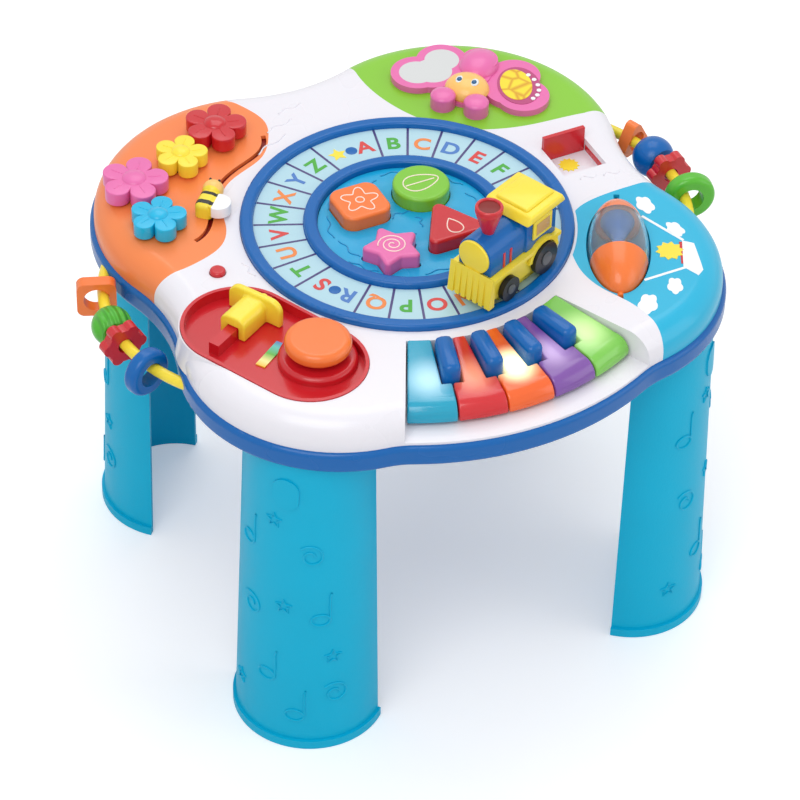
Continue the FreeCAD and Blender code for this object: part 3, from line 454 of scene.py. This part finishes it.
pitch = 360 / CELLS
first_bar = bar("divider_01", 34, 1.7, 0.1, 90 - pitch, TRACK_R + 0.6, PRINT_Z,
                purple_line)
for k in range(2, CELLS):
    if k not in (9, 18):
        turned_copy(first_bar, "divider_%02d" % k, -pitch * (k - 1))


def button_dot(name, place, r, height, material, body="table", sides=32):
    bpy.ops.mesh.primitive_cylinder_add(vertices=sides, radius=r / 1000, depth=height / 1000,
                                        location=place)
    obj = bpy.context.active_object
    obj.name = name
    modify(obj, "BEVEL", width=min(r, height) / 3500, segments=3, limit_method="ANGLE")
    return finish(obj, material, body)


first_dot = button_dot("track_dot_0", polar(90, TRACK_R, PRINT_Z), 4.2, 0.12, blue)
for k in (9, 18):
    turned_copy(first_dot, "track_dot_%d" % k, -pitch * k)


def outline_piece(name, points, thick, material, body="table", onto=None, cuts=3):
    """A flat piece through the points (metres), laid onto a node where one is named."""
    bpy.ops.mesh.primitive_circle_add(vertices=len(points), radius=0.01, fill_type="NGON")
    obj = bpy.context.active_object
    obj.name = name
    for v, p in zip(obj.data.vertices, points):
        v.co = p
    obj.location = (0, 0, 0)
    bpy.ops.object.mode_set(mode="EDIT")
    bpy.ops.mesh.select_all(action="SELECT")
    bpy.ops.mesh.quads_convert_to_tris()
    bpy.ops.mesh.subdivide(number_cuts=cuts)
    bpy.ops.mesh.normals_make_consistent(inside=False)
    bpy.ops.object.mode_set(mode="OBJECT")
    if onto:
        modify(obj, "SHRINKWRAP", target=nodes[onto], wrap_method="NEAREST_SURFACEPOINT",
               offset=0.0001)
    modify(obj, "SOLIDIFY", thickness=thick / 1000, offset=0)
    return finish(obj, material, body)


def star_points(x, y, z, r_out, r_in, tips, turn=90):
    pts = []
    for i in range(tips * 2):
        a = math.radians(turn + 180 / tips * i)
        r = r_out if i % 2 == 0 else r_in
        pts.append(at(x + r * math.cos(a), y + r * math.sin(a), z))
    return pts


outline_piece("track_star", star_points(-10.5, TRACK_R, PRINT_Z, 7, 3.4, 5), 0.1, yellow, cuts=1)
print("dividers", 24)

# %% [markdown]
# ## Letters
# Plain capital letters run clockwise with their tops outwards. Text is set, thickened a little and
# made a mesh, so the print has a real edge.

# %% Alphabet
ink = {"r": plastic("ink_red", "D6413F", 0.4), "g": plastic("ink_green", "47A838", 0.4),
       "o": plastic("ink_orange", "EC8743", 0.4), "b": plastic("ink_blue", "4A7CC2", 0.4)}
ink_order = "rgobrgobrgobrorgobrgorgobg"
for k, letter in enumerate("ABCDEFGHIJKLMNOPQRSTUVWXYZ"):
    a = 90 - pitch * (k + 0.5)
    bpy.ops.object.text_add(location=polar(a, TRACK_R, PRINT_Z))
    obj = bpy.context.active_object
    obj.name = "letter_" + letter
    obj.data.body = letter
    obj.data.size = 0.0175
    obj.data.offset = 0.0005
    obj.data.extrude = 0.00005
    obj.data.align_x = "CENTER"
    obj.data.align_y = "CENTER"
    obj.rotation_euler = (0, 0, math.radians(a - 90))
    finish(obj, ink[ink_order[k]])
print("letters", len(ink_order))

# %% [markdown]
# ## Line motifs on the shape buttons
# Each button has a white line drawing of its own: a blossom, a leaf, a shell and a drop. They are
# thin raised lines, drawn as curves with a round section.

# %% Motifs
line_white = plastic("line_white", "FFE9DC", 0.35)


def line(name, points, r, material, body, closed=True):
    data = bpy.data.curves.new(name, "CURVE")
    data.dimensions = "3D"
    data.bevel_depth = r / 1000
    data.bevel_resolution = 1
    spline = data.splines.new("POLY")
    spline.points.add(len(points) - 1)
    for p, co in zip(spline.points, points):
        p.co = (co[0], co[1], co[2], 1)
    spline.use_cyclic_u = closed
    obj = bpy.data.objects.new(name, data)
    bpy.context.collection.objects.link(obj)
    return finish(obj, material, body)


def motif(name, x, y, z, rule, count, body, closed=True):
    pts = []
    for i in range(count):
        t = i / count
        u, v = rule(t)
        pts.append(at(x + u, y + v, z))
    return line(name, pts, 0.45, line_white, body, closed)


def blossom(t):
    a = 2 * math.pi * t
    r = 10.5 + 3 * math.cos(5 * a)
    return r * math.cos(a), r * math.sin(a)


def leaf(t):
    a = 2 * math.pi * t
    return 13 * math.cos(a), 8 * math.sin(a) * (1 - 0.35 * math.cos(a))


def shell(t):
    a = 5 * math.pi * t
    r = 1 + 9.5 * t
    return r * math.cos(a), r * math.sin(a)


def drop(t):
    a = 2 * math.pi * t
    return 7 * math.sin(a) * math.sin(a / 2), 8 * math.cos(a) - 1


top = 307.1
motif("square_line", -24, 25, top, blossom, 60, "square_button_body")
motif("square_line_middle", -24, 25, top,
      lambda t: (3 * math.cos(6.28 * t), 3 * math.sin(6.28 * t)), 24, "square_button_body")
motif("disc_line", 23, 25, top, leaf, 48, "disc_button_body")
motif("disc_vein", 23, 25, top, lambda t: (24 * t - 12, 0), 12, "disc_button_body", False)
motif("star_line", -25, -28, top, shell, 60, "star_button_body", False)
motif("triangle_line", 22, -26, top, drop, 48, "triangle_button_body")
print("motif height", top)

# %% [markdown]
# ## The sky print
# A basket on two lines, clouds and a small sun lie on the panel. They are flat outlines wrapped
# onto the panel's skin, so they follow its shoulder.

# %% Clouds, lines, basket and sun
print_white = plastic("print_white", "F4F7FA", 0.35)


def cloud(name, x, y, size, turn):
    pts = []
    for i in range(40):
        a = 2 * math.pi * i / 40
        r = 0.85 * size * (1 + 0.32 * abs(math.sin(2.5 * a + turn)))
        u, v = r * math.cos(a), 0.62 * r * math.sin(a)
        c, s = math.cos(math.radians(turn * 40 + 60)), math.sin(math.radians(turn * 40 + 60))
        pts.append(at(x + u * c - v * s, y + u * s + v * c, 297.2))
    return outline_piece(name, pts, 0.4, print_white, onto="sky_panel")


cloud("cloud_1", 158, -52, 9, 0.6)
cloud("cloud_2", 164, -84, 8, 0.9)
cloud("cloud_3", 108, -146, 10, -0.2)
cloud("cloud_4", 134, -137, 8, 0.1)


def strip(name, x0, y0, x1, y1, width, material, onto="sky_panel"):
    way = Vector((x1 - x0, y1 - y0)).normalized()
    n = Vector((-way.y, way.x)) * width / 2
    pts = []
    for i in range(9):
        t = i / 8
        pts.append(at(x0 + (x1 - x0) * t + n.x, y0 + (y1 - y0) * t + n.y, 297.2))
    for i in range(9):
        t = 1 - i / 8
        pts.append(at(x0 + (x1 - x0) * t - n.x, y0 + (y1 - y0) * t - n.y, 297.2))
    return outline_piece(name, pts, 0.4, material, onto=onto, cuts=0)


strip("balloon_line_1", 150, -62, 163, -97, 2, print_white)
strip("balloon_line_2", 118, -123, 150, -123, 2, print_white)
basket = [at(162, -97, 297.2), at(168, -103, 297), at(160, -130, 297.2),
          at(154, -134, 297.2), at(149, -122, 297.2)]
outline_piece("basket", basket, 0.5, print_white, onto="sky_panel")
outline_piece("sun_print", star_points(149, -103, 297.2, 10, 7.5, 10), 0.5, yellow,
              onto="sky_panel")
strip("basket_band", 161, -98, 151, -119, 3.5, red)
outline_piece("picture_sun", star_points(138, 21, 286.8, 7.5, 5.8, 12), 0.4, yellow, cuts=1)
print("clouds", 4)

# %% [markdown]
# ## Butterfly details
# The second wing has a yellow inlay with cells like a leaf, and white dots. The face has two plain
# oval eyes.

# %% Wing inlay, dots and eyes
inlay = plastic("wing_inlay", "E8C81E", 0.3)
n, link = inlay.node_tree.nodes, inlay.node_tree.links
cells = n.new("ShaderNodeTexVoronoi")
cells.feature = "DISTANCE_TO_EDGE"
cells.inputs["Scale"].default_value = 75
cell_coord = n.new("ShaderNodeTexCoord")
cell_ramp = n.new("ShaderNodeValToRGB")
cell_ramp.color_ramp.elements[0].color = linear("D99A1A")
cell_ramp.color_ramp.elements[1].color = linear("F2DC2E")
cell_ramp.color_ramp.elements[1].position = 0.12
link.new(cell_coord.outputs["Object"], cells.inputs["Vector"])
link.new(cells.outputs["Distance"], cell_ramp.inputs["Fac"])
link.new(cell_ramp.outputs["Color"], n["skin"].inputs["Color"])


def oval(name, x, y, z, ru, rv, turn, thick, material, body="table"):
    pts = []
    c, s = math.cos(math.radians(turn)), math.sin(math.radians(turn))
    for i in range(36):
        a = 2 * math.pi * i / 36
        u, v = ru * math.cos(a), rv * math.sin(a)
        pts.append(at(x + u * c - v * s, y + u * s + v * c, z))
    return outline_piece(name, pts, thick, material, body, cuts=1)


wing_rim = plastic("wing_rim_rose", "B8457A", 0.3)
oval("wing_rim", 139, 100, 302.1, 22, 15.5, 70, 0.5, wing_rim)
oval("wing_inlay", 137.5, 101.5, 302.4, 18, 11.5, 70, 0.5, inlay)
for i in range(6):
    a = math.radians(-80 + 21 * i)
    button_dot("wing_dot_%d" % i,
               at(138.5 + 13.5 * math.cos(a), 100 + 18.5 * math.sin(a), 302.6),
               1.7, 0.8, print_white, sides=16)
eye_white = plastic("eye_white", "E6F2F6", 0.2)
eye_blue = plastic("eye_blue", "1E5C8C", 0.15)


def dome(name, u, v, z, ru, rv, height, material, body="table"):
    """A rounded cap: the upper half of a ball, stretched and closed below."""
    c, s = math.cos(math.radians(FLY_ANGLE)), math.sin(math.radians(FLY_ANGLE))
    x, y = FLY_X + u * c - v * s, FLY_Y + u * s + v * c
    bpy.ops.mesh.primitive_uv_sphere_add(segments=40, ring_count=20, radius=0.001,
                                         location=at(x, y, z))
    obj = bpy.context.active_object
    obj.name = name
    obj.scale = (ru, rv, height)
    obj.rotation_euler = (0, 0, math.radians(FLY_ANGLE))
    bpy.ops.object.transform_apply(location=True, rotation=True, scale=True)
    bpy.ops.object.mode_set(mode="EDIT")
    bpy.ops.mesh.select_all(action="SELECT")
    bpy.ops.mesh.bisect(plane_co=at(x, y, z), plane_no=(0, 0, 1), use_fill=True, clear_inner=True)
    bpy.ops.object.mode_set(mode="OBJECT")
    return finish(obj, material, body)


dome("butterfly_face", -15, 0, 301.9, 15, 16.2, 10.5, peach)
dome("butterfly_back", 14, 0, 301.9, 17, 14.2, 9.5, pink)
for i, v in enumerate((-12.4, 12.4)):
    dome("feeler_%d" % i, -33, v, 305.8, 9.1, 9.1, 4, pink)
for i, v in enumerate((-6, 5)):
    dome("eye_%d" % i, -17, v, 310.6, 4.2, 3.0, 1.9, eye_white)
    dome("pupil_%d" % i, -18, v, 311.4, 2.4, 2.0, 1.6, eye_blue)
print("eyes", 2)

# %% [markdown]
# ## Train trim
# A yellow disc closes the boiler, a plain frame surrounds each cab window, two red bands go round
# the boiler's side, and the wheels have grey hubs.

# %% Boiler disc, windows, bands and hubs
drive = math.radians(-66)
ahead = Vector((math.cos(drive - math.pi / 2), math.sin(drive - math.pi / 2), 0))
outward = Vector((math.cos(drive), math.sin(drive), 0))
train_mid = at(88 * math.cos(drive), 88 * math.sin(drive), 297)
grey = plastic("hub_grey", "55595E", 0.35)
glass_tan = plastic("window_print_tan", "C9A46A", 0.3)


def on_train(f, o, z):
    return train_mid + ahead * f / 1000 + outward * o / 1000 + Vector((0, 0, z / 1000))


def round_plate(name, place, axis, r, thick, material, body):
    obj_turn = Vector((0, 0, 1)).rotation_difference(axis).to_euler()
    bpy.ops.mesh.primitive_cylinder_add(vertices=48, radius=r / 1000, depth=thick / 1000,
                                        location=place, rotation=obj_turn)
    obj = bpy.context.active_object
    obj.name = name
    modify(obj, "BEVEL", width=thick / 3500, segments=3, limit_method="ANGLE")
    return finish(obj, material, body)


def block(name, place, size, tilt, material, body, bevel=0.6):
    bpy.ops.mesh.primitive_cube_add(size=1, location=place, rotation=tilt)
    obj = bpy.context.active_object
    obj.name = name
    obj.scale = [s / 1000 for s in size]
    bpy.ops.object.transform_apply(location=False, rotation=False, scale=True)
    modify(obj, "BEVEL", width=bevel / 1000, segments=3)
    return finish(obj, material, body)


along = (0, 0, drive - math.pi / 2)
round_plate("boiler_disc", on_train(38.2, 0, 41), ahead, 12.4, 2.4, yellow, "train")
for side, tag in ((1, "out"), (-1, "in")):
    block("window_frame_" + tag, on_train(-15, 15.6 * side, 44), (20, 1.6, 15), along,
          yellow, "train")
    block("window_print_" + tag, on_train(-15, 16.4 * side, 44), (14, 0.8, 9.5), along,
          glass_tan, "train", 0.3)
    for j in (0, 1):
        block("boiler_band_%s_%d" % (tag, j), on_train(16 + 7 * j, 13.6 * side, 36),
              (2.2, 0.8, 12), along, red, "train", 0.3)
    for f, r, z, body in ((-16, 5, 16.8, "train_rear_wheels_body"),
                          (22, 3.6, 13.8, "train_front_wheels_body")):
        round_plate("hub_%s_%s" % (tag, body[6:11]), on_train(f, 20.2 * side, z), outward,
                    r, 1.4, grey, body)
print("train trim", 12)

# %% [markdown]
# ## Softer edges
# Moulded keys have no sharp edge. Each coloured key is a merged copy of its solid with a small
# bevel, and each short upper key is a block with a wide bevel, which reads as a rounded bar.

# %% Rounded keys and roof


def softened(node, width, body, material):
    bpy.ops.object.select_all(action="DESELECT")
    nodes[node].select_set(True)
    bpy.context.view_layer.objects.active = nodes[node]
    bpy.ops.object.duplicate()
    obj = bpy.context.active_object
    obj.name = node + "_soft"
    bpy.ops.object.mode_set(mode="EDIT")
    bpy.ops.mesh.select_all(action="SELECT")
    bpy.ops.mesh.remove_doubles(threshold=0.00002)
    bpy.ops.mesh.dissolve_limited(angle_limit=math.radians(3))
    bpy.ops.object.mode_set(mode="OBJECT")
    modify(obj, "BEVEL", width=width / 1000, segments=3, limit_method="ANGLE",
           angle_limit=math.radians(38))
    finish(obj, material, body)
    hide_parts(node)
    return obj


for i in range(1, 6):
    softened("key_%d" % i, 1.3, "key_%d_body" % i, nodes["key_%d" % i].data.materials[0])
for i in range(1, 5):
    a = 243.5 + 10.6 * i
    upper = block("upper_key_%d_soft" % i, polar(a, 145.5, 295.2), (35, 12.6, 20.4),
                  (0, 0, math.radians(a)), blue, "upper_key_%d_body" % i, 4.6)
    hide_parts("upper_key_%d" % i)
softened("train_roof", 1.8, "train", yellow)
print("softened", 10)

# %% [markdown]
# ## Flowers with real petals
# The real caps are thick, with five full petals and deep notches, rounded all over. The outline is
# a circle whose points are moved in and out, lifted into a block, and given a wide bevel. A small
# dome closes the middle and a low rib runs along each petal. Each cap stands for its plain solid,
# whose hidden stem is left out.

# %% Petal caps


def petal_cap(node, x, y, reach, low, turn, material):
    bpy.ops.mesh.primitive_circle_add(vertices=120, radius=0.01, fill_type="NGON")
    obj = bpy.context.active_object
    obj.name = node + "_cap"
    for i, v in enumerate(obj.data.vertices):
        a = 2 * math.pi * i / 120
        r = reach * (0.5 + 0.49 * abs(math.cos(2.5 * (a - math.radians(turn)))) ** 0.5)
        v.co = at(x + r * math.cos(a), y + r * math.sin(a), low)
    bpy.ops.object.mode_set(mode="EDIT")
    bpy.ops.mesh.select_all(action="SELECT")
    bpy.ops.mesh.extrude_region_move(TRANSFORM_OT_translate={"value": (0, 0, 0.0105)})
    bpy.ops.object.mode_set(mode="OBJECT")
    modify(obj, "BEVEL", width=0.0022, segments=4, limit_method="ANGLE",
           angle_limit=math.radians(50))
    body = node + "_body"
    finish(obj, material, body)
    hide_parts(node)
    bpy.ops.mesh.primitive_uv_sphere_add(segments=40, ring_count=20, radius=0.001,
                                         location=at(x, y, low + 9.8))
    hub = bpy.context.active_object
    hub.name = node + "_middle"
    hub.scale = (reach * 0.36, reach * 0.36, 3.6)
    bpy.ops.object.transform_apply(location=True, rotation=True, scale=True)
    bpy.ops.object.mode_set(mode="EDIT")
    bpy.ops.mesh.select_all(action="SELECT")
    bpy.ops.mesh.bisect(plane_co=at(x, y, low + 9.8), plane_no=(0, 0, 1), use_fill=True,
                        clear_inner=True)
    bpy.ops.object.mode_set(mode="OBJECT")
    finish(hub, material, body)
    for i in range(5):
        a = math.radians(turn + 72 * i)
        pts = [at(x + r * math.cos(a), y + r * math.sin(a), low + 10.4)
               for r in [reach * (0.4 + 0.04 * k) for k in range(10)]]
        line("%s_rib_%d" % (node, i), pts, 0.5, material, body, False)
    return obj


for node, x, y, reach, low in (("flower_red", -80, 143, 22.5, 299.3),
                               ("flower_yellow", -115, 123, 19, 299.3),
                               ("flower_pink", -156, 110, 24, 298.8),
                               ("flower_blue", -157, 67, 20, 298.8)):
    petal_cap(node, x, y, reach, low, 54, nodes[node].data.materials[0])
print("petal caps", 4)

# %% [markdown]
# ## Bee wing, slot and softer mouldings
# The bee's wing is white, so a thin shell of white goes over that lobe. Under the slot a dark red
# strip of painted shade closes the view inside. The arrow and the cab get softer edges, and the
# roof a raised crown. The chimney has a rolled lip, and a dark red disc in its mouth is painted
# shade.

# %% Wing, strip and lip


def on_bee(u, v, z):
    return at(BEE_X + u * math.cos(bee_turn) - v * math.sin(bee_turn),
              BEE_Y + u * math.sin(bee_turn) + v * math.cos(bee_turn), 297.3 + z)


bpy.ops.mesh.primitive_cylinder_add(vertices=64, radius=0.0088, depth=0.0084,
                                    location=on_bee(-2, -9, 7.1))
wing = bpy.context.active_object
wing.name = "bee_wing"
bpy.ops.object.transform_apply(location=True, rotation=True, scale=True)
bpy.ops.object.mode_set(mode="EDIT")
bpy.ops.mesh.select_all(action="SELECT")
bpy.ops.mesh.bisect(plane_co=on_bee(0, -6.2, 0),
                    plane_no=(-math.sin(bee_turn), math.cos(bee_turn), 0),
                    use_fill=True, clear_outer=True)
bpy.ops.object.mode_set(mode="OBJECT")
modify(wing, "BEVEL", width=0.0012, segments=3, limit_method="ANGLE",
       angle_limit=math.radians(40))
finish(wing, print_white, "bee_body")
for i, v in enumerate((-3.2, 3.2)):
    button_dot("bee_eye_%d" % i, on_bee(17.2, v, 13.6), 0.9, 1.2, black, "bee_body", 16)

slot_path = [(-46, 136), (-58, 115), (-78, 105), (-96, 95), (-110, 80), (-119, 63), (-127, 51),
             (-142, 41)]
edge_a, edge_b = [], []
for i, (x, y) in enumerate(slot_path):
    x0, y0 = slot_path[max(i - 1, 0)]
    x1, y1 = slot_path[min(i + 1, len(slot_path) - 1)]
    side = Vector((y0 - y1, x1 - x0)).normalized() * 4
    edge_a.append(at(x + side.x, y + side.y, 293.4))
    edge_b.append(at(x - side.x, y - side.y, 293.4))
# the dark red strip under the slot is painted shade inside it
outline_piece("slot_shade_strip", edge_a + edge_b[::-1], 0.4, shade_red, cuts=0)

for node, width, body in (("arrow_slider", 1.4, "arrow_slider_body"), ("train_body", 0.9, "train")):
    softened(node, width, body, nodes[node].data.materials[0])
block("roof_crown", on_train(-15, 0, 62.6), (30, 27, 3.4), along, yellow, "train", 1.5)
bpy.ops.mesh.primitive_torus_add(major_segments=48, minor_segments=14, major_radius=0.0083,
                                 minor_radius=0.0013, location=on_train(24, 0, 74.2))
lip = bpy.context.active_object
lip.name = "chimney_lip"
bpy.ops.object.mode_set(mode="EDIT")
bpy.ops.mesh.select_all(action="SELECT")
bpy.ops.transform.resize(value=(1, 1, 1.2))
bpy.ops.object.mode_set(mode="OBJECT")
finish(lip, red, "train")
# the dark red disc in the chimney's mouth is painted shade in the hollow
button_dot("chimney_mouth_shade", on_train(24, 0, 74.45), 7.2, 0.3, shade_red, "train", 40)
print("wing at", on_bee(-2, -9, 7)[:])

# %% [markdown]
# ## Saddle round the dish
# At its outer end the red dish reaches the edge of the shell, where the real shell goes on as a
# thin white saddle. It is a grid bent round the end of the dish, flared to the rim and thickened.

# %% White saddle
bpy.ops.mesh.primitive_grid_add(x_subdivisions=60, y_subdivisions=8, size=2)
saddle = bpy.context.active_object
saddle.name = "dish_saddle"
for v in saddle.data.vertices:
    way = 53 * (v.co.x + 1)
    past = max(0, way - 62)
    a = math.radians(118 + 88 * min(way, 62) / 62)
    fall = (1 - v.co.y) / 2
    r = 40.3 + 2.2 * fall ** 2
    v.co = at(DISH_X + 0.44 * past + r * math.cos(a),
              DISH_Y - 0.898 * past + r * math.sin(a), 296.6 - 22.4 * fall)
modify(saddle, "SOLIDIFY", thickness=0.001, offset=0)
finish(saddle, white)
print("saddle", saddle.dimensions[:])

# %% [markdown]
# ## Raised lines on the top
# The pond has wavy raised strokes, and the white shell has a few faint ripples. The shell's are the
# colour of the moulding under them; the pond's are a darker blue, painted shade along the raised
# lines.

# %% Strokes on the pond and the shell


def wave(name, angle, r, length, z, radius, material, humps=1.6):
    pts = []
    for i in range(25):
        t = i / 24 - 0.5
        a = angle + math.degrees(length * t / r)
        pts.append(polar(a, r + 1.2 * math.sin(2 * math.pi * humps * t), z))
    return line(name, pts, radius, material, "table", False)


# the pond strokes are darker than the pond plate: painted shade along the raised lines
pond_line_shade = plastic("pond_stroke_painted_shade", "0F8FC6", 0.25)
for i, (a, r, length) in enumerate(((70, 56, 26), (100, 50, 20), (128, 57, 24), (160, 54, 24),
                                    (190, 50, 22), (212, 57, 22), (270, 55, 26), (300, 48, 20),
                                    (330, 56, 24), (0, 54, 26), (32, 57, 20), (92, 12, 16),
                                    (240, 14, 16), (350, 10, 12))):
    wave("pond_wave_%d" % i, a, r, length, 296.6, 0.55, pond_line_shade)
for i, (a, r, length) in enumerate(((112, 128, 30), (104, 140, 24), (97, 152, 20), (180, 120, 16))):
    wave("shell_wave_%d" % i, a, r, length, 297.0, 0.6, white, 1.5)
for i, (x, y) in enumerate(((131, -8), (148, -11), (133, 44))):
    pts = [at(x + t, y + 2 * math.sin(0.5 * t), 297.0) for t in range(13)]
    line("pocket_wave_%d" % i, pts, 0.6, white, "table", False)
block("pocket_guide", at(155.85, 17, 290), (0.26, 27, 5), (0, 0, 0), red, "table", 0.05)
print("strokes", 21)

# %% [markdown]
# ## Leg relief
# Each leg carries raised notes, swirls and stars in its own plastic. They are thin round lines
# whose points follow the curved shell.

# %% Ornaments on the legs


def leg_point(leg_angle, swing, z, grow=0.3):
    u = 174 - 2 * z / 257.5
    r = 52 - 6 * z / 257.5 + grow
    a = math.radians(swing)
    x, y = u + r * math.cos(a), r * math.sin(a)
    b = math.radians(leg_angle)
    return at(x * math.cos(b) - y * math.sin(b), x * math.sin(b) + y * math.cos(b), z)


def leg_shape(name, swing, z, rule, count, closed=True):
    pts = []
    for i in range(count):
        u, v = rule(i / count)
        pts.append(leg_point(FIRST_LEG, swing + math.degrees(u / 49), z + v))
    return line(name, pts, 0.75, leg_blue, "table", closed)


def ring_rule(size):
    return lambda t: (size * math.cos(6.283 * t), size * 0.75 * math.sin(6.283 * t))


def star_rule(size):
    def rule(t):
        i = int(t * 10)
        r = size if i % 2 == 0 else size * 0.45
        a = math.radians(90 + 36 * i)
        return r * math.cos(a), r * math.sin(a)
    return rule


def swirl_rule(size):
    def rule(t):
        a = 9 * t
        return size * (0.25 + 0.75 * t) * math.cos(a), size * (0.25 + 0.75 * t) * math.sin(a)
    return rule


def stem_rule(height):
    return lambda t: (6.5 + 5 * max(0, t - 0.75), height * t)


made = []
for j, (swing, z) in enumerate(((-14, 62), (30, 120), (-38, 176), (10, 30))):
    made.append(leg_shape("leg_note_%d" % j, swing, z, ring_rule(6.5), 20))
    made.append(leg_shape("leg_stem_%d" % j, swing, z, stem_rule(26), 12, False))
for j, (swing, z) in enumerate(((22, 178), (-32, 118), (42, 50))):
    made.append(leg_shape("leg_swirl_%d" % j, swing, z, swirl_rule(10), 30, False))
for j, (swing, z) in enumerate(((0, 130), (-45, 40), (40, 85), (-10, 205))):
    made.append(leg_shape("leg_star_%d" % j, swing, z, star_rule(6), 10))
for obj in made:
    for turn_by, tag in ((95, "back_left"), (180, "front_left"), (275, "front_right")):
        turned_copy(obj, obj.name + "_" + tag, turn_by)
print("ornaments", 4 * len(made))

# %% [markdown]
# ## Floor, light and camera
# A pale floor takes a soft shadow; the camera sees it as white. The camera stands where the
# photograph was taken, with a long lens.

# %% Floor
bpy.ops.mesh.primitive_plane_add(size=12, location=(0, 0, -0.0002))
floor = bpy.context.active_object
floor.name = "floor"
floor_mat = bpy.data.materials.new("pale_floor")
floor_mat.use_nodes = True
floor_mat.node_tree.nodes["Principled BSDF"].inputs["Base Color"].default_value = (0.9, 0.9, 0.9, 1)
floor_mat.node_tree.nodes["Principled BSDF"].inputs["Roughness"].default_value = 0.9
floor_shader = floor_mat.node_tree.nodes["Principled BSDF"]
floor_path = floor_mat.node_tree.nodes.new("ShaderNodeLightPath")
floor_lift = floor_mat.node_tree.nodes.new("ShaderNodeMapRange")
floor_lift.inputs["To Max"].default_value = 0.27
floor_shader.inputs["Emission Color"].default_value = (1, 1, 1, 1)
floor_mat.node_tree.links.new(floor_path.outputs["Is Camera Ray"], floor_lift.inputs["Value"])
floor_mat.node_tree.links.new(floor_lift.outputs["Result"],
                              floor_shader.inputs["Emission Strength"])
floor.data.materials.append(floor_mat)
print("floor", floor.dimensions[:])

# %% Lamps and sky
world = bpy.data.worlds.new("soft_room")
bpy.context.scene.world = world
world.use_nodes = True
wn, wl = world.node_tree.nodes, world.node_tree.links
background = wn["Background"]
background.inputs["Color"].default_value = (1, 1, 1, 1)
path = wn.new("ShaderNodeLightPath")
level = wn.new("ShaderNodeMapRange")
level.inputs["To Min"].default_value = 0.62
level.inputs["To Max"].default_value = 1.0
seen = wn.new("ShaderNodeMath")
seen.operation = "MAXIMUM"
seen_all = wn.new("ShaderNodeMath")
seen_all.operation = "MAXIMUM"
wl.new(path.outputs["Is Camera Ray"], seen.inputs[0])
wl.new(path.outputs["Is Glossy Ray"], seen.inputs[1])
wl.new(seen.outputs[0], seen_all.inputs[0])
wl.new(path.outputs["Is Transmission Ray"], seen_all.inputs[1])
wl.new(seen_all.outputs[0], level.inputs["Value"])
wl.new(level.outputs["Result"], background.inputs["Strength"])


def lamp(name, place, target, size, watts):
    light = bpy.data.lights.new(name, "AREA")
    light.size = size
    light.energy = watts
    obj = bpy.data.objects.new(name, light)
    bpy.context.collection.objects.link(obj)
    obj.location = place
    obj.rotation_euler = (Vector(target) - Vector(place)).to_track_quat("-Z", "Y").to_euler()
    return obj


lamp("key_lamp", (-0.9, -0.9, 1.9), (0, 0, 0.25), 1.2, 14.5)
lamp("top_lamp", (0.4, 0.7, 2.0), (0, 0, 0.25), 1.4, 11)
lamp("fill_lamp", (1.4, -1.2, 0.9), (0, 0, 0.2), 1.2, 5)
print("lamps", 3)

# %% Camera
az, el, roll = math.radians(-27.43), math.radians(41.61), math.radians(1.588)
back = Vector((math.sin(az) * math.cos(el), -math.cos(az) * math.cos(el), math.sin(el)))
right = Vector((math.cos(az), math.sin(az), 0))
up = right.cross(-back)
cam_x = right * math.cos(roll) + up * math.sin(roll)
cam_y = -right * math.sin(roll) + up * math.cos(roll)
target = at(-3.4, -3.2, 137.8)
cam = bpy.data.objects.new("camera", bpy.data.cameras.new("camera"))
bpy.context.collection.objects.link(cam)
turn = Matrix((cam_x, cam_y, back)).transposed().to_4x4()
CAMERA_FAR = 2.7435  # metres
FOCAL_PX, PHOTO_PX = 3844.8, 800
cam.matrix_world = Matrix.Translation(target + back * CAMERA_FAR) @ turn
cam.data.sensor_width = 36
cam.data.lens = FOCAL_PX * cam.data.sensor_width / PHOTO_PX
cam.data.clip_end = 50
bpy.context.scene.camera = cam
bpy.context.scene.view_settings.view_transform = "Standard"
print("lens", cam.data.lens)
